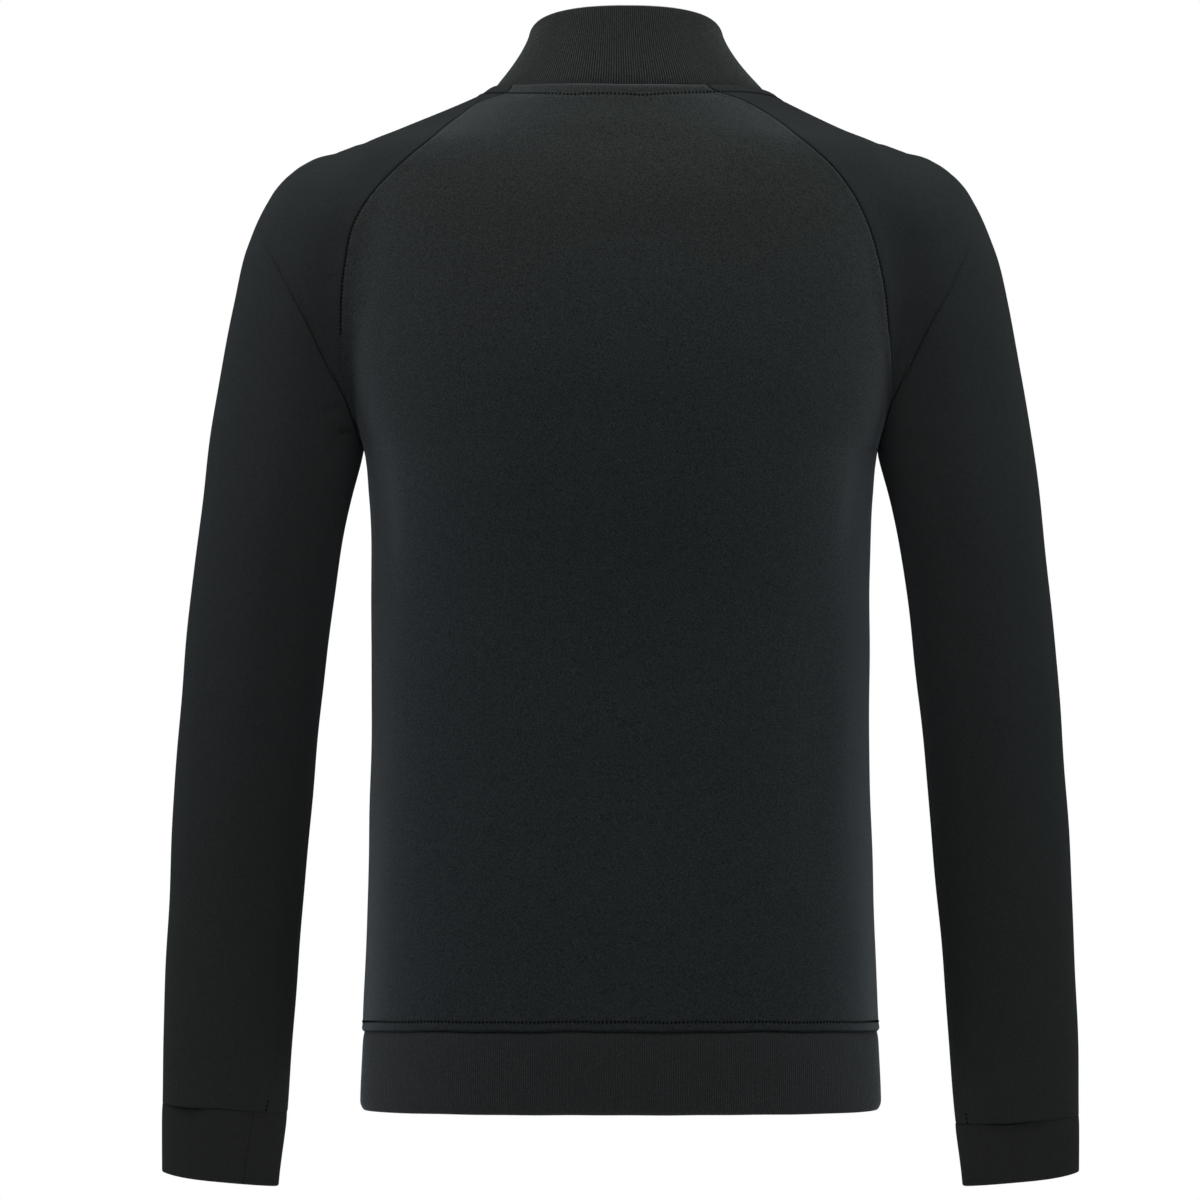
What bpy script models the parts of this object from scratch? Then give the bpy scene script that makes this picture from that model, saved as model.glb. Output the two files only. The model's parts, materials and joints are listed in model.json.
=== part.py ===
"""A raglan sweatshirt with a ribbed stand collar, hem band and cuffs, filled out as if it were worn.

Metres, +Z up. The front faces -Y and the wearer's left is +X. The origin is in the middle of the neck
opening, about level with the back of the neck seam. Each cut piece is a thin closed shell. Its outer side lies
on the form below, a torso and two hanging arms, between the seam lines that the tables give.
"""

import math
from collections import namedtuple

import bpy
import numpy as np

PANEL_WALL = 0.0015  # knitted body cloth
RIB_WALL = 0.0024  # rib, folded double
SEAM_GAP = 0.0004  # between neighbouring pieces

# How a form's surface is found: by strides from inside it, halved until they are close enough.
STRIDE = 0.004
LONGEST_WAY = 0.320
CLOSE_ENOUGH = 1e-7
NORMAL_REACH = 0.010

ARMPIT_HEIGHT = -0.249
ARMPIT_HALF_WIDTH = 0.1755
HEM_SEAM_HEIGHT = -0.6408
HEM_HEIGHT = -0.697
BLEND = 0.030  # how widely the shoulder runs into the arm, fully from BLEND_RISE above the armpit
BLEND_RISE = 0.090
CREASE_RISE = 0.012  # and hardly at all up to here above it

# The torso, level by level: half its width, and how far its back and front reach from the side seams.
Torso = namedtuple("Torso", "height half_width back front squareness")
TORSO = (
    Torso(-0.720, 0.1775, 0.112, 0.112, 2.5),
    Torso(-0.697, 0.1780, 0.113, 0.113, 2.5),
    Torso(-0.647, 0.1762, 0.114, 0.114, 2.5),
    Torso(-0.600, 0.1745, 0.111, 0.115, 2.45),
    Torso(-0.540, 0.1722, 0.106, 0.115, 2.4),
    Torso(-0.470, 0.1707, 0.101, 0.114, 2.35),
    Torso(-0.400, 0.1703, 0.099, 0.114, 2.3),
    Torso(-0.330, 0.1708, 0.104, 0.118, 2.3),
    Torso(-0.280, 0.1722, 0.111, 0.122, 2.35),
    Torso(-0.249, 0.1755, 0.115, 0.124, 2.35),
    Torso(-0.225, 0.1845, 0.117, 0.125, 2.35),
    Torso(-0.200, 0.1920, 0.119, 0.125, 2.3),
    Torso(-0.160, 0.1990, 0.118, 0.121, 2.25),
    Torso(-0.110, 0.1990, 0.113, 0.109, 2.25),
    Torso(-0.070, 0.1945, 0.106, 0.097, 2.2),
    Torso(-0.050, 0.1875, 0.099, 0.090, 2.15),
    Torso(-0.039, 0.1750, 0.094, 0.085, 2.1),
    Torso(-0.029, 0.1505, 0.090, 0.080, 2.0),
    Torso(-0.018, 0.1245, 0.084, 0.076, 2.0),
    Torso(-0.008, 0.1035, 0.079, 0.072, 2.0),
    Torso(0.000, 0.0915, 0.073, 0.069, 2.0),
    Torso(0.012, 0.0820, 0.068, 0.064, 2.0),
    Torso(0.030, 0.0760, 0.064, 0.060, 2.0),
)

# A hanging arm, level by level: its inner and outer edge, its middle's place front to back, half its depth.
Arm = namedtuple("Arm", "height inner outer middle half_depth squareness")
ARM = (
    Arm(-0.765, 0.2350, 0.3145, -0.020, 0.0220, 2.2),
    Arm(-0.703, 0.2285, 0.3145, -0.018, 0.0290, 2.2),
    Arm(-0.625, 0.2230, 0.3122, -0.014, 0.0350, 2.1),
    Arm(-0.557, 0.2170, 0.3090, -0.010, 0.0405, 2.1),
    Arm(-0.488, 0.2110, 0.3056, -0.007, 0.0455, 2.05),
    Arm(-0.420, 0.2040, 0.3008, -0.004, 0.0495, 2.0),
    Arm(-0.351, 0.1960, 0.2943, -0.002, 0.0535, 2.0),
    Arm(-0.283, 0.1840, 0.2862, 0.000, 0.0565, 2.0),
    Arm(-0.249, 0.1755, 0.2820, 0.000, 0.0575, 2.0),
    Arm(-0.200, 0.1710, 0.2745, 0.000, 0.0590, 2.0),
    Arm(-0.150, 0.1690, 0.2652, 0.000, 0.0600, 2.0),
    Arm(-0.110, 0.1640, 0.2550, 0.000, 0.0590, 2.0),
    Arm(-0.080, 0.1570, 0.2420, 0.000, 0.0530, 2.0),
    Arm(-0.069, 0.1570, 0.2350, 0.000, 0.0470, 2.0),
    Arm(-0.060, 0.1590, 0.2260, 0.000, 0.0380, 2.0),
    Arm(-0.053, 0.1620, 0.2158, 0.000, 0.0270, 2.0),
    Arm(-0.048, 0.1660, 0.2034, 0.000, 0.0160, 2.0),
    Arm(-0.045, 0.1720, 0.1880, 0.000, 0.0080, 2.0),
)

ABOVE_ARM = 4  # how quickly a point above its top row counts as outside

# The neck seam's height at angles round the neck, from the middle of the back to the middle of the front.
NeckSeam = namedtuple("NeckSeam", "angle height")
NECK_SEAM = (
    NeckSeam(0, -0.0027),
    NeckSeam(30, -0.0023),
    NeckSeam(60, -0.0020),
    NeckSeam(90, -0.0038),
    NeckSeam(130, -0.018),
    NeckSeam(160, -0.033),
    NeckSeam(180, -0.038),
)

# The raglan seams as seen straight from behind and from the front, from the neck to the armpit. The sewn
# seams differ a little: the left one runs wider at the back.
Seam = namedtuple("Seam", "height left right")
BACK_RAGLAN = (
    Seam(-0.002, 0.0775, 0.0560),
    Seam(-0.010, 0.0908, 0.0735),
    Seam(-0.022, 0.1080, 0.0985),
    Seam(-0.038, 0.1278, 0.1207),
    Seam(-0.055, 0.1481, 0.1403),
    Seam(-0.075, 0.1678, 0.1565),
    Seam(-0.095, 0.1801, 0.1668),
    Seam(-0.125, 0.1870, 0.1756),
    Seam(-0.165, 0.1900, 0.1811),
    Seam(-0.205, 0.1890, 0.1840),
    Seam(-0.232, 0.1815, 0.1797),
    Seam(ARMPIT_HEIGHT, ARMPIT_HALF_WIDTH, ARMPIT_HALF_WIDTH),
)
FRONT_RAGLAN = (
    Seam(-0.023, 0.0600, 0.0600),
    Seam(-0.045, 0.0790, 0.0790),
    Seam(-0.075, 0.1040, 0.1040),
    Seam(-0.110, 0.1340, 0.1340),
    Seam(-0.145, 0.1580, 0.1580),
    Seam(-0.180, 0.1760, 0.1760),
    Seam(-0.205, 0.1820, 0.1820),
    Seam(-0.232, 0.1800, 0.1800),
    Seam(ARMPIT_HEIGHT, ARMPIT_HALF_WIDTH, ARMPIT_HALF_WIDTH),
)

# The armpit fold that a hanging arm makes, as seen from behind and from the front, from the shoulder's tip
# down to the armpit: how far the sleeve swells on the arm's side of it, and sinks on the body's side.
Fold = namedtuple("Fold", "x z rise sink")
ARMPIT_FOLD = (
    Fold(0.243, -0.105, 0.000, 0.000),
    Fold(0.224, -0.139, 0.002, 0.002),
    Fold(0.209, -0.170, 0.003, 0.004),
    Fold(0.196, -0.196, 0.004, 0.005),
    Fold(0.186, -0.217, 0.003, 0.004),
    Fold(0.178, -0.241, 0.000, 0.000),
)
FOLD_WIDTH = 0.013

SEAM_ROWS = 10  # grid rows from the neck to the armpit, along the raglan seams
TORSO_ROWS = 13  # from the armpit to the hem seam
TORSO_COLUMNS = 16
SLEEVE_ROWS = 16  # from the armpit to the cuff seam
SLEEVE_COLUMNS = 20
COLLAR_COLUMNS = 40
COLLAR_ROWS = 5
HEM_COLUMNS = 44
CUFF_COLUMNS = 20
BAND_ROWS = 3  # on the hem band and the cuffs
FINE = 161  # points on a line before it is spaced evenly
NECK_EASE = math.radians(35)  # how much more evenly a body panel's columns lie at the neck
SECTION_MIDDLE = 0.45  # how far a sleeve section's middle lies from its seams towards its outer side

CUFF_SEAM_HEIGHT = {"left": -0.699, "right": -0.706}
CUFF_HEIGHT = -0.748
ARMPIT_TILT = math.radians(7.5)  # a sleeve's sections rise outwards, square to the arm
CUFF_TILT = math.radians(5.0)
RIB_STEP = 0.0012  # how far the cloth stands out over the top of a rib

# The collar's top edge: its height at angles from the middle of the back, and its reach.
CollarTop = namedtuple("CollarTop", "angle height")
COLLAR_TOP = (
    CollarTop(0, 0.0515),
    CollarTop(35, 0.0497),
    CollarTop(60, 0.0452),
    CollarTop(90, 0.0350),
    CollarTop(130, 0.0205),
    CollarTop(180, 0.0130),
)
COLLAR_TOP_HALF_WIDTH = 0.0662
COLLAR_TOP_BACK = 0.0665
COLLAR_TOP_FRONT = 0.0640
COLLAR_FLARE = 1.35  # how quickly its foot spreads on to the shoulders

CLOTH_COLOUR = (0.0150, 0.0160, 0.0165, 1.0)
RIB_COLOUR = (0.0140, 0.0150, 0.0155, 1.0)


def fabric(name, colour):
    material = bpy.data.materials.new(name)
    material.use_nodes = True
    shader = material.node_tree.nodes["Principled BSDF"]
    shader.inputs["Base Color"].default_value = colour
    shader.inputs["Roughness"].default_value = 0.9
    shader.inputs["Metallic"].default_value = 0.0
    material.diffuse_color = colour
    return material


def emptied_scene():
    """A collection for the garment, in a scene without the objects it started with."""
    for existing in list(bpy.data.objects):
        bpy.data.objects.remove(existing, do_unlink=True)
    parts = bpy.data.collections.new("sweatshirt")
    bpy.context.scene.collection.children.link(parts)
    return parts


def smooth(at, places, values):
    """A smooth curve through a table's values, level beyond its ends."""
    x, y = np.array(places, float), np.array(values, float)
    if x[0] > x[-1]:
        x, y = x[::-1], y[::-1]
    slope = np.gradient(y, x)
    slope[[0, -1]] = 0
    at = np.clip(at, x[0], x[-1])
    i = np.clip(np.searchsorted(x, at) - 1, 0, len(x) - 2)
    step = x[i + 1] - x[i]
    t = (at - x[i]) / step
    ends = (1 + 2 * t) * (1 - t) ** 2 * y[i] + t * t * (3 - 2 * t) * y[i + 1]
    return ends + t * (1 - t) * step * ((1 - t) * slope[i] - t * slope[i + 1])


def column(table, name, at):
    """One column of a table, read at any height or angle."""
    return smooth(at, [row[0] for row in table], [getattr(row, name) for row in table])


def outside_oval(x, y, half_width, depth, squareness):
    """How far a point is outside a squared oval, along the line from its middle. It is less than 0 inside."""
    x = x + 1e-9  # so that the middle itself has a direction
    gauge = (np.abs(x / half_width) ** squareness + np.abs(y / depth) ** squareness) ** (1 / squareness)
    return np.hypot(x, y) * (1 - 1 / gauge)


def outside_torso(p):
    z = p[..., 2]
    depth = np.where(p[..., 1] > 0, column(TORSO, "back", z), column(TORSO, "front", z))
    half_width, squareness = column(TORSO, "half_width", z), column(TORSO, "squareness", z)
    return outside_oval(p[..., 0], p[..., 1], half_width, depth, squareness)


def outside_arm(p):
    """The same for the two arms, which mirror each other."""
    z = p[..., 2]
    inner, outer = column(ARM, "inner", z), column(ARM, "outer", z)
    x = np.abs(p[..., 0]) - (inner + outer) / 2
    y = p[..., 1] - column(ARM, "middle", z)
    depth, squareness = column(ARM, "half_depth", z), column(ARM, "squareness", z)
    away = outside_oval(x, y, (outer - inner) / 2, depth, squareness)
    return away + ABOVE_ARM * np.maximum(z - ARM[-1].height, 0)


def outside_body(p):
    """Torso and arms run together, widely at the shoulder and hardly at all in the armpit."""
    torso, arm = outside_torso(p), outside_arm(p)
    blend = BLEND * np.clip((p[..., 2] - ARMPIT_HEIGHT - CREASE_RISE) / BLEND_RISE, 0.02, 1)
    share = np.clip(0.5 + (arm - torso) / (2 * blend), 0, 1)
    return arm + (torso - arm) * share - blend * share * (1 - share)


def surface(outside, middle, through):
    """Where the line from a point inside the form, through another point, first comes out of it."""
    ahead = through - middle
    ahead = ahead / np.linalg.norm(ahead, axis=-1, keepdims=True)
    reach = np.zeros(ahead.shape[:-1])
    step, tries = STRIDE, round(LONGEST_WAY / STRIDE)
    while step > CLOSE_ENOUGH:
        inside = np.ones(reach.shape, bool)
        for _ in range(tries):
            inside &= outside(middle + (reach + step)[..., None] * ahead) < 0
            reach = np.where(inside, reach + step, reach)
        step, tries = step / 2, 2
    return middle + reach[..., None] * ahead


def outward(outside, p):
    """The form's own direction outwards at points on it, eased across seams and creases."""
    step = NORMAL_REACH * np.eye(3)
    slope = np.stack([outside(p + d) - outside(p - d) for d in step], axis=-1)
    return slope / np.linalg.norm(slope, axis=-1, keepdims=True)


def points(x, y, z):
    return np.stack(np.broadcast_arrays(x, y, z), axis=-1).astype(float)


def on_face(x, z, face):
    """The point of the body's back (face 1) or front (face -1) that is seen at x and z."""
    middle = points(x, 0.0, z)
    return surface(outside_body, middle, middle + (0, face, 0))


def neck_seam(degrees):
    """Points of the neck seam, by their angle from the middle of the back towards the wearer's left."""
    turn = np.radians(degrees)
    height = column(NECK_SEAM, "height", 180 - np.abs(180 - np.abs(degrees)))
    middle = points(0.0, 0.0, height)
    return surface(outside_torso, middle, middle + points(np.sin(turn), np.cos(turn), 0.0))


def raglan(side, face, rows):
    """The raglan seam's points from the neck to the armpit, evenly spaced along it."""
    table = BACK_RAGLAN if face > 0 else FRONT_RAGLAN
    heights = np.linspace(table[0].height, ARMPIT_HEIGHT, FINE)
    line = on_face(column(table, side, heights), heights, face)
    line[-1] = (ARMPIT_HALF_WIDTH, 0, ARMPIT_HEIGHT)
    return evenly(line, rows)


def fold_height(p):
    """How far the armpit folds lift or sink the cloth at points of the form."""
    x, z = np.abs(p[..., 0]), p[..., 2]
    nearest, height = np.full(x.shape, 9.0), np.zeros(x.shape)
    for upper, lower in zip(ARMPIT_FOLD, ARMPIT_FOLD[1:]):
        run, drop = lower.x - upper.x, lower.z - upper.z
        length = math.hypot(run, drop)
        along = np.clip(((x - upper.x) * run + (z - upper.z) * drop) / length**2, 0, 1)
        aside = ((x - upper.x) * -drop + (z - upper.z) * run) / length
        apart = np.hypot(x - upper.x - along * run, z - upper.z - along * drop)
        beyond = np.sign(aside) * apart / FOLD_WIDTH
        rise = upper.rise + along * (lower.rise - upper.rise)
        sink = upper.sink + along * (lower.sink - upper.sink)
        lift = rise * np.exp(-((beyond - 1.0) ** 2)) - sink * np.exp(-((beyond + 0.8) ** 2))
        height = np.where(apart < nearest, lift, height)
        nearest = np.minimum(apart, nearest)
    return height


def evenly(line, count):
    """A line's points again, evenly spaced along it."""
    along = np.concatenate([[0], np.cumsum(np.linalg.norm(np.diff(line, axis=0), axis=1))])
    at = np.linspace(0, along[-1], count)
    return np.stack([np.interp(at, along, line[:, k]) for k in range(3)], axis=-1)


def trimmed(grid, normals):
    """A grid whose first and last columns have moved in from their seams, square to the seam and the wall."""
    grid = grid.copy()
    for edge, inner in ((0, 1), (-1, -2)):
        aside = np.cross(np.gradient(grid[:, edge], axis=0), normals[:, edge])
        aside /= np.linalg.norm(aside, axis=-1, keepdims=True)
        way = np.sign(((grid[:, inner] - grid[:, edge]) * aside).sum())
        grid[:, edge] += way * aside * SEAM_GAP / 2
    return grid


def shell(name, material, grid, normals, wall, ring_rows):
    """A closed piece of cloth whose outer side is a grid of points, with its last ring_rows rows as rings.

    Its inner side is stepped in along the form's own normals. Solidify would tip a panel's edges over its
    seams and into the next panel.
    """
    rows, columns = grid.shape[:2]
    index = np.arange(rows * columns).reshape(rows, columns)
    if ring_rows:
        index[-ring_rows:, -1] = index[-ring_rows:, 0]
    corners = (index[:-1, :-1], index[1:, :-1], index[1:, 1:], index[:-1, 1:])
    faces = np.stack(corners, axis=-1).reshape(-1, 4)
    used, faces = np.unique(faces, return_inverse=True)
    outer, normals = grid.reshape(-1, 3)[used], normals.reshape(-1, 3)[used]
    faces = faces.reshape(-1, 4)
    a, b, c, d = outer[faces[0]]
    if np.cross(c - a, d - b) @ normals[faces[0, 0]] < 0:
        faces = faces[:, ::-1]
    faces = faces.tolist()
    inner_faces = [[v + len(outer) for v in reversed(face)] for face in faces]
    sides = [(a, b) for face in faces for a, b in zip(face, face[1:] + face[:1])]
    both_ways = set(sides)
    rim = [[b, a, a + len(outer), b + len(outer)] for a, b in sides if (b, a) not in both_ways]
    mesh = bpy.data.meshes.new(name)
    mesh.from_pydata(np.vstack([outer, outer - wall * normals]).tolist(), [], faces + inner_faces + rim)
    mesh.materials.append(material)
    return bpy.data.objects.new(name, mesh)


def body_panel(name, face, material):
    """The back (face 1) or the front (face -1), row by row from the hem seam up to the neck seam."""
    across = np.linspace(-1, 1, TORSO_COLUMNS + 1)
    rows = []
    for height in np.linspace(HEM_SEAM_HEIGHT, ARMPIT_HEIGHT, TORSO_ROWS + 1)[:-1]:
        rows.append(torso_row(across, face, height))
    right, left = (raglan(side, face, SEAM_ROWS + 1)[::-1] for side in ("right", "left"))
    right = right * (-1, 1, 1)
    neck = neck_seam(np.linspace(-90, 90, FINE) if face > 0 else np.linspace(270, 90, FINE))
    top = spread(across, right[-1, 0], left[-1, 0], 1)
    level = np.interp(top, top[[0, -1]], (right[-1, 2], left[-1, 2]))
    neck_dip = np.interp(top, neck[:, 0], neck[:, 2]) - level
    for share, start, end in zip(np.linspace(0, 1, SEAM_ROWS + 1), right, left):
        x = spread(across, start[0], end[0], share)
        z = np.interp(x, (start[0], end[0]), (start[2], end[2])) + share**3 * neck_dip
        rows.append(np.concatenate([[start], on_face(x, z, face)[1:-1], [end]]))
    grid = np.array(rows)
    below, above = grid[:TORSO_ROWS], grid[TORSO_ROWS:]
    normals = np.concatenate([outward(outside_torso, below), outward(outside_body, above)])
    grid = trimmed(grid + normals * fold_height(grid)[..., None], normals)
    return shell(name, material, grid, normals, PANEL_WALL, 0)


def torso_row(across, face, height):
    """A level row from side seam to side seam, below the armpits."""
    half_width, squareness = column(TORSO, "half_width", height), column(TORSO, "squareness", height)
    depth = column(TORSO, "back" if face > 0 else "front", height)
    x = np.sin(across * math.pi / 2)
    y = face * depth * (1 - np.abs(x) ** squareness) ** (1 / squareness)
    return points(half_width * x, y, height)


def spread(across, right, left, share):
    """Places across a row between its ends, closest together beside the side seams (share 0)."""
    widest = math.pi / 2 - share * NECK_EASE
    x = np.sin(across * widest) / math.sin(widest)
    return np.where(x < 0, -right * x, left * x)


def sleeve(side, material):
    """A raglan sleeve: rows from the neck seam to the armpit between its two seams, then rings to the cuff.

    It is worked out on the wearer's left, and mirrored for the right.
    """
    front, back = raglan(side, -1, SEAM_ROWS + 1), raglan(side, 1, SEAM_ROWS + 1)
    outermost = arm_ring(side, 0)[FINE // 2]
    heights = np.linspace(column(NECK_SEAM, "height", 90), outermost[2], FINE)
    inside = points(COLLAR_TOP_HALF_WIDTH, 0.0, heights)
    ridge = evenly(surface(outside_body, inside, inside + (1, 0, 0)), SEAM_ROWS + 1)
    rows = [neck_edge(front[0], back[0])]
    for start, end, over in zip(front[1:-1], back[1:-1], ridge[1:-1]):
        rows.append(section(start, end, over))
    rows += [arm_ring(side, share) for share in np.linspace(0, 1, SLEEVE_ROWS + 1)]
    grid = np.array([evenly(row, SLEEVE_COLUMNS + 1) for row in rows])
    upper, lower = grid[:SEAM_ROWS], grid[SEAM_ROWS:]
    lower[0, [0, -1]] = (ARMPIT_HALF_WIDTH + SEAM_GAP, 0, ARMPIT_HEIGHT)
    normals = np.concatenate([outward(outside_body, upper), outward(outside_arm, lower)])
    grid = grid + normals * fold_height(grid)[..., None]
    grid[:SEAM_ROWS] = trimmed(grid[:SEAM_ROWS], normals[:SEAM_ROWS])
    mirror = (-1, 1, 1) if side == "right" else (1, 1, 1)
    return shell(f"sleeve_{side}", material, grid * mirror, normals * mirror, PANEL_WALL, SLEEVE_ROWS + 1)


def neck_edge(front, back):
    """The part of the neck seam that a left sleeve takes, from its front seam to its back one."""
    ends = [math.degrees(math.atan2(end[0], end[1])) for end in (front, back)]
    line = neck_seam(np.linspace(*ends, FINE))
    line[0], line[-1] = front, back
    return line


def section(start, end, over):
    """The body's cut from start, round by the point over, to end, in the plane of the three."""
    seat = (start + end) / 2
    middle = seat + SECTION_MIDDLE * (over - seat)
    ahead = (over - middle) / np.linalg.norm(over - middle)
    across = (end - start) - ((end - start) @ ahead) * ahead
    across /= np.linalg.norm(across)
    turns = [math.atan2((p - middle) @ across, (p - middle) @ ahead) for p in (start, end)]
    inmost = min(start[0], end[0])  # where the form runs on into the torso
    line = cut(lambda p: np.maximum(outside_body(p), inmost - p[..., 0]), middle, ahead, across, turns)
    line[0], line[-1] = start, end
    return line


def cut(outside, middle, ahead, across, turns):
    turn = np.linspace(*turns, FINE)[:, None]
    return surface(outside, middle, middle + np.cos(turn) * ahead + np.sin(turn) * across)


def arm_ring(side, share):
    """The left arm's ring, from its underarm line and round. Share 0 is the armpit, and 1 the cuff seam."""
    half_width = (column(ARM, "outer", ARMPIT_HEIGHT) - ARMPIT_HALF_WIDTH) / 2
    armpit = ARMPIT_HEIGHT + half_width * math.tan(ARMPIT_TILT)
    height = armpit + share * (CUFF_SEAM_HEIGHT[side] - armpit)
    return tilted_ring(height, ARMPIT_TILT + share * (CUFF_TILT - ARMPIT_TILT))


def tilted_ring(height, tilt):
    middle_x = (column(ARM, "inner", height) + column(ARM, "outer", height)) / 2
    middle = points(middle_x, column(ARM, "middle", height), height)
    ahead, across = np.array((math.cos(tilt), 0, math.sin(tilt))), np.array((0, 1, 0))
    return cut(outside_arm, middle, ahead, across, (-math.pi, math.pi))


def rib(name, material, rings, columns):
    """A closed band of rib through rings of points."""
    grid = np.array([evenly(ring, columns + 1) for ring in rings])
    around = np.roll(grid[:, :-1], -1, axis=1) - np.roll(grid[:, :-1], 1, axis=1)
    normals = np.cross(around, np.gradient(grid[:, :-1], axis=0))
    normals /= np.linalg.norm(normals, axis=-1, keepdims=True)
    middle = grid[:, :-1].mean(axis=(0, 1))
    if ((grid[:, :-1] - middle) * normals).sum() < 0:
        normals = -normals
    normals = np.concatenate([normals, normals[:, :1]], axis=1)
    share = np.linspace(1, 0, len(rings))[:, None, None]
    if name != "collar":
        grid = grid - normals * RIB_STEP * share**2
    return shell(name, material, grid, normals, RIB_WALL, len(rings))


def collar(material):
    angles = np.linspace(-180, 180, 2 * FINE)
    foot = neck_seam(angles) + (0, 0, SEAM_GAP)
    across, ahead = np.sin(np.radians(angles)), np.cos(np.radians(angles))
    reach = np.where(ahead > 0, COLLAR_TOP_BACK, COLLAR_TOP_FRONT)
    top = points(COLLAR_TOP_HALF_WIDTH * across, reach * ahead, column(COLLAR_TOP, "height", np.abs(angles)))
    rings = []
    for share in np.linspace(0, 1, COLLAR_ROWS + 1):
        ring = top + (foot - top) * (1 - share) ** COLLAR_FLARE
        ring[:, 2] = foot[:, 2] + share * (top[:, 2] - foot[:, 2])
        rings.append(ring)
    return rib("collar", material, rings, COLLAR_COLUMNS)


def hem_band(material):
    turn = np.linspace(-math.pi, math.pi, 4 * FINE)
    rings = []
    for height in np.linspace(HEM_SEAM_HEIGHT - SEAM_GAP, HEM_HEIGHT, BAND_ROWS + 1):
        middle = points(0.0, 0.0, height)
        rings.append(surface(outside_torso, middle, middle + points(np.sin(turn), np.cos(turn), 0.0)))
    return rib("hem_band", material, rings, HEM_COLUMNS)


def cuff(side, material):
    rings = []
    for height in np.linspace(CUFF_SEAM_HEIGHT[side] - SEAM_GAP, CUFF_HEIGHT, BAND_ROWS + 1):
        rings.append(tilted_ring(height, CUFF_TILT) * ((-1, 1, 1) if side == "right" else (1, 1, 1)))
    return rib(f"cuff_{side}", material, rings, CUFF_COLUMNS)


def main():
    parts = emptied_scene()
    cloth, ribbing = fabric("black_knit", CLOTH_COLOUR), fabric("black_rib", RIB_COLOUR)
    pieces = [body_panel("back", 1, cloth), body_panel("front", -1, cloth)]
    pieces += [collar(ribbing), hem_band(ribbing)]
    for side in ("left", "right"):
        pieces += [sleeve(side, cloth), cuff(side, ribbing)]
    for piece in pieces:
        parts.objects.link(piece)


main()
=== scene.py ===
"""The looks of the raglan sweatshirt: eight pieces of fine cloth, with ribs, seams, stitches and folds.

Metres, +Z up, front -Y and the wearer's left +X, as in the CAD. Every piece lies on the form of the
solid that it stands for, between the same seam lines.
"""

import json
import math
from collections import namedtuple

import bpy
import numpy as np
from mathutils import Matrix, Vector

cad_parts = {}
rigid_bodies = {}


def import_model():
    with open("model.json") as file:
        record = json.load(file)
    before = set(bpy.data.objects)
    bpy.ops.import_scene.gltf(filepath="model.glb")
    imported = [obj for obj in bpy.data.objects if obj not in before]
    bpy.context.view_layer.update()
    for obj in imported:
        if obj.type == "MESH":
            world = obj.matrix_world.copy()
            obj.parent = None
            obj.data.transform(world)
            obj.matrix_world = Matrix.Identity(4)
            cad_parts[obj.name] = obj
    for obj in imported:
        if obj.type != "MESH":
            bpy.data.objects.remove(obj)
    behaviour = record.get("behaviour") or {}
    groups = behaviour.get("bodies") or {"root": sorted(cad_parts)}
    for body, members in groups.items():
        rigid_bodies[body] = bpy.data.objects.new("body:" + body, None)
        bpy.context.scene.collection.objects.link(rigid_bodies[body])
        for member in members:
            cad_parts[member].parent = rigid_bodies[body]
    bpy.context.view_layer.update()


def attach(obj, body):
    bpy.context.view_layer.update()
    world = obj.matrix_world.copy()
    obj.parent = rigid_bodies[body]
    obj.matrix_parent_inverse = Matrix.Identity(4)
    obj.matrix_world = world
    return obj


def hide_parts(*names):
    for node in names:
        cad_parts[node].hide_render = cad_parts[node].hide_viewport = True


# ---------------------------------------------------------------- the form
# It is the CAD's form, with the neck's corners drawn in and the hem let down by a few millimetres.

STRIDE = 0.004
LONGEST_WAY = 0.320
CLOSE_ENOUGH = 2e-7
NORMAL_REACH = 0.010
NORMAL_RISE = 0.045  # above the armpit, over which directions turn to the whole body's
FINE = 161
MIRROR = {"left": (1, 1, 1), "right": (-1, 1, 1)}

ARMPIT_HEIGHT = -0.249
ARMPIT_HALF_WIDTH = 0.1755
HEM_SEAM_HEIGHT = -0.6408
HEM_HEIGHT = -0.6982
BLEND = 0.030
BLEND_RISE = 0.090
LEAST_BLEND = 0.02
CREASE_RISE = 0.012

Torso = namedtuple("Torso", "height half_width back front squareness")
TORSO = (
    Torso(-0.720, 0.1775, 0.112, 0.112, 2.5),
    Torso(-0.697, 0.1780, 0.113, 0.113, 2.5),
    Torso(-0.647, 0.1762, 0.114, 0.114, 2.5),
    Torso(-0.600, 0.1745, 0.111, 0.115, 2.45),
    Torso(-0.540, 0.1722, 0.106, 0.115, 2.4),
    Torso(-0.470, 0.1707, 0.101, 0.114, 2.35),
    Torso(-0.400, 0.1703, 0.099, 0.114, 2.3),
    Torso(-0.330, 0.1708, 0.104, 0.118, 2.3),
    Torso(-0.280, 0.1722, 0.111, 0.122, 2.35),
    Torso(-0.249, 0.1755, 0.115, 0.124, 2.35),
    Torso(-0.225, 0.1845, 0.117, 0.125, 2.35),
    Torso(-0.200, 0.1920, 0.119, 0.125, 2.3),
    Torso(-0.160, 0.1990, 0.118, 0.121, 2.25),
    Torso(-0.110, 0.1990, 0.113, 0.109, 2.25),
    Torso(-0.070, 0.1945, 0.106, 0.097, 2.2),
    Torso(-0.050, 0.1875, 0.099, 0.090, 2.15),
    Torso(-0.039, 0.1750, 0.094, 0.085, 2.1),
    Torso(-0.029, 0.1505, 0.090, 0.080, 2.0),
    Torso(-0.018, 0.1245, 0.084, 0.076, 2.0),
    Torso(-0.008, 0.1028, 0.079, 0.072, 2.0),
    Torso(-0.003, 0.0928, 0.075, 0.070, 2.0),
    Torso(0.000, 0.0886, 0.073, 0.069, 2.0),
    Torso(0.012, 0.0805, 0.068, 0.064, 2.0),
    Torso(0.030, 0.0760, 0.064, 0.060, 2.0),
)

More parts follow.
